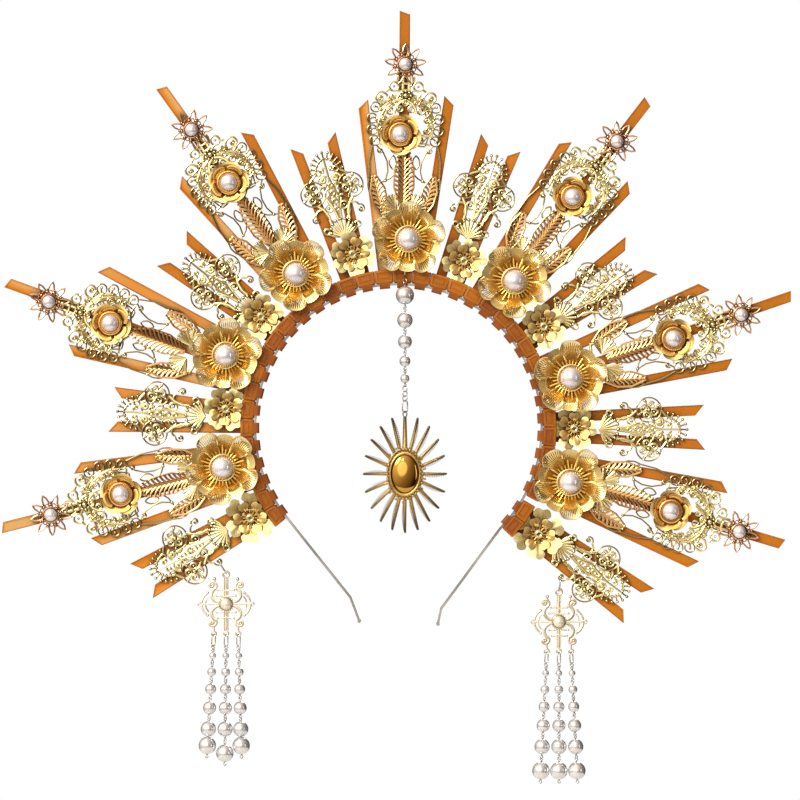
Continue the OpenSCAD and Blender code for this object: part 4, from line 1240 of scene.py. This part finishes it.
def plate_mesh():
    """A plate, drawn from the middle of its top ring."""
    bm = bmesh.new()
    mid = plate_middle
    for flip in (1, -1):
        for reach, far in ((4.4, 3.3), (3.7, 6.0)):
            tip = (reach, mid + flip * (far + 0.5))
            bend(bm, (0, mid + flip * far), tip, flip * 0.3, bar)
            grain(bm, tip, 0.5)
        corner, scroll = (6.7, mid + flip * 3.4), (4.6, mid + flip * 7.4)
        bend(bm, (2.2, mid + flip * 0.5), corner, -flip * 0.8, strip)
        bend(bm, corner, scroll, -flip * 0.8, strip)
        curl(bm, scroll, 115 * flip, 2.0, -flip, (1.3, 0.6), quarters=6)
        grain(bm, (8.4, mid + flip * 5.2), 0.6)
    bend(bm, (5.3, mid + 9.9), (5.3, mid + 11.2), 0, bar)
    grain(bm, (5.3, mid + 11.6), 0.78)
    bend(bm, (strand_x, mid - 10.2), (strand_x, strand_y + 1), 0, bar)
    hoop(bm, (strand_x, strand_y), 1.08, (0.62, 0.6), 0, 8, 18)
    bend(bm, (2.8, mid), (11.2, mid), 0, bar)
    hoop(bm, (12.0, mid), 0.8, (0.55, 0.6), 0, 8, 14)
    bend(bm, (8.5, mid - 5.1), (8.5, mid + 5.1), -2.8, (1.0, 0.6))
    bend(bm, (8.0, mid - 3.6), (8.0, mid + 3.6), -1.5, line)
    mirror(bm)
    for x in (-0.75, 0, 0.75):
        size = line if x else (1.1, 0.4)
        bend(bm, (x, -1.6), (x, mid + 2.7), 0, size)
        bend(bm, (x, mid - 2.7), (x, strand_y + 1.5), 0, size)
    hoop(bm, (0, 0), 1.4, (0.95, 0.66), 0, 8, 22)
    hoop(bm, (0, strand_y), 1.08, (0.62, 0.6), 0, 8, 18)
    hoop(bm, (0, mid), 2.95, (0.7, 0.9), 0.1, 8, 32)
    for n in range(20):
        grain(bm, polar(3.45, 18 * n, (0, mid)), 0.34, 0.1, 6)
    rod(bm, along(here, mid), 0.5, 2.8, 2.8, 24)
    return mesh_of(bm, "plate")


pale = gilt("pale_gilt", (1.0, 0.92, 0.68), (0.36, 0.26, 0.11), 0.24, 0.001, rim=0.8, metallic=0.93)
plate = plate_mesh()

# Drops: three strings of six drilled pearls below each plate, largest at the bottom, each on an
# oval ring and a small ring. On the left drop the outer strings' two lowest pearls share a pin.
drop_widths = (3, 4, 5, 6, 7, 8)
drop_gaps = (4.0, 3.4, 3.15, 3.2)
shared_gap, free_gap = 0.12, 3.6
# place of each string, how far it leans and the gap above its lowest pearl
drop_strings = {"left": [(-1, -3.4, shared_gap), (0, -0.6, free_gap), (1, 1.5, shared_gap)],
                "right": [(-1, -2.8, free_gap), (0, 0, free_gap), (1, 2.8, free_gap)]}
oval_wide, oval_high, oval_wire, drop_ring = 3, 5.6, 0.25, 1.0
strand_top = strand_y - 0.75 + oval_wire + 0.25
ring_at = -oval_high + oval_wire + pin_wire + wire_clear - drop_ring
eye_at = ring_at - drop_ring + 2 * pin_wire + wire_clear - eye_radius
pearl_at = eye_at - end_off - drop_widths[0] / 2
link_ends = {"left": ((-82.057, -62.51), (-79.2, -67.12)), "right": ((74.651, -69.71), (73.8, -75.22))}

cream = pearl_finish("cream_pearl", (0.93, 0.87, 0.70), (0.86, 0.80, 0.62), 0.3)
for side, at in plate_places.items():
    body = f"{side}_drop"
    add_piece(f"{side}_plate_stamped", plate, front_view @ Matrix.Translation((*at, sheet_middle)),
              pale, body, "pale_gilt", f"{side}_plate")
    pearls, links, gold_links = bmesh.new(), bmesh.new(), bmesh.new()
    for place, lean, last_gap in drop_strings[side]:
        hook = Matrix.Translation((at[0] + place * strand_x, at[1] + strand_top, sheet_middle))
        string = front_view @ hook @ Matrix.Rotation(math.radians(lean), 4, "Z")
        metal = gold_links if side == "left" and place < 0 else links
        oval_ring(metal, string, oval_wide, oval_high, oval_wire, 60)
        wire_ring(metal, along(string, ring_at), drop_ring, pin_wire, -45)
        gaps = drop_gaps + (last_gap,)
        heights = string_up(drop_widths, gaps)
        shared = last_gap == shared_gap
        for n, width in enumerate(drop_widths):
            height = pearl_at + heights[n]
            drilled_pearl(pearls, along(string, height), width)
            if shared and n == 5:
                continue
            top = height + eye_off(width, gaps[n - 1]) if n else eye_at
            if n == 5 or (shared and n == 4):
                bottom = pearl_at + heights[5] - drop_widths[5] / 2 - end_off
            else:
                bottom = height - eye_off(width, gaps[n])
            eye_pin(links, string, top, bottom, -45 if n % 2 else 45)
    upper, lower = (Vector((*end, sheet_middle)) for end in link_ends[side])
    way = lower - upper
    turn = Matrix.Rotation(math.atan2(way.y, way.x) + math.pi / 2, 4, "Z")
    oval_ring(links, front_view @ Matrix.Translation(upper) @ turn, 2.4, way.length, link_wire, 90)
    add_piece(f"{side}_pearls_strung", mesh_of(pearls, "pearls"), here, grey_pearl, body,
              "drilled_pearls", f"{side}_drop_pearls")
    add_piece(f"{side}_links_wire", mesh_of(links, "links"), here, silver, body, "silver_wire",
              f"{side}_drop_links")
    if gold_links.verts:
        add_piece(f"{side}_links_gold", mesh_of(gold_links, "links"), here, bright_gilt, body,
                  "silver_wire")
    cabochon = bmesh.new()
    for vert in ball(cabochon, 2.7):
        vert.co.z = max(vert.co.z, 0) * 0.9
    middle = Matrix.Translation((at[0], at[1] + plate_middle, sheet_middle + 0.35))
    add_piece(f"{side}_cabochon", mesh_of(cabochon, "cabochon", 60), front_view @ middle, cream,
              body, "drilled_pearls")
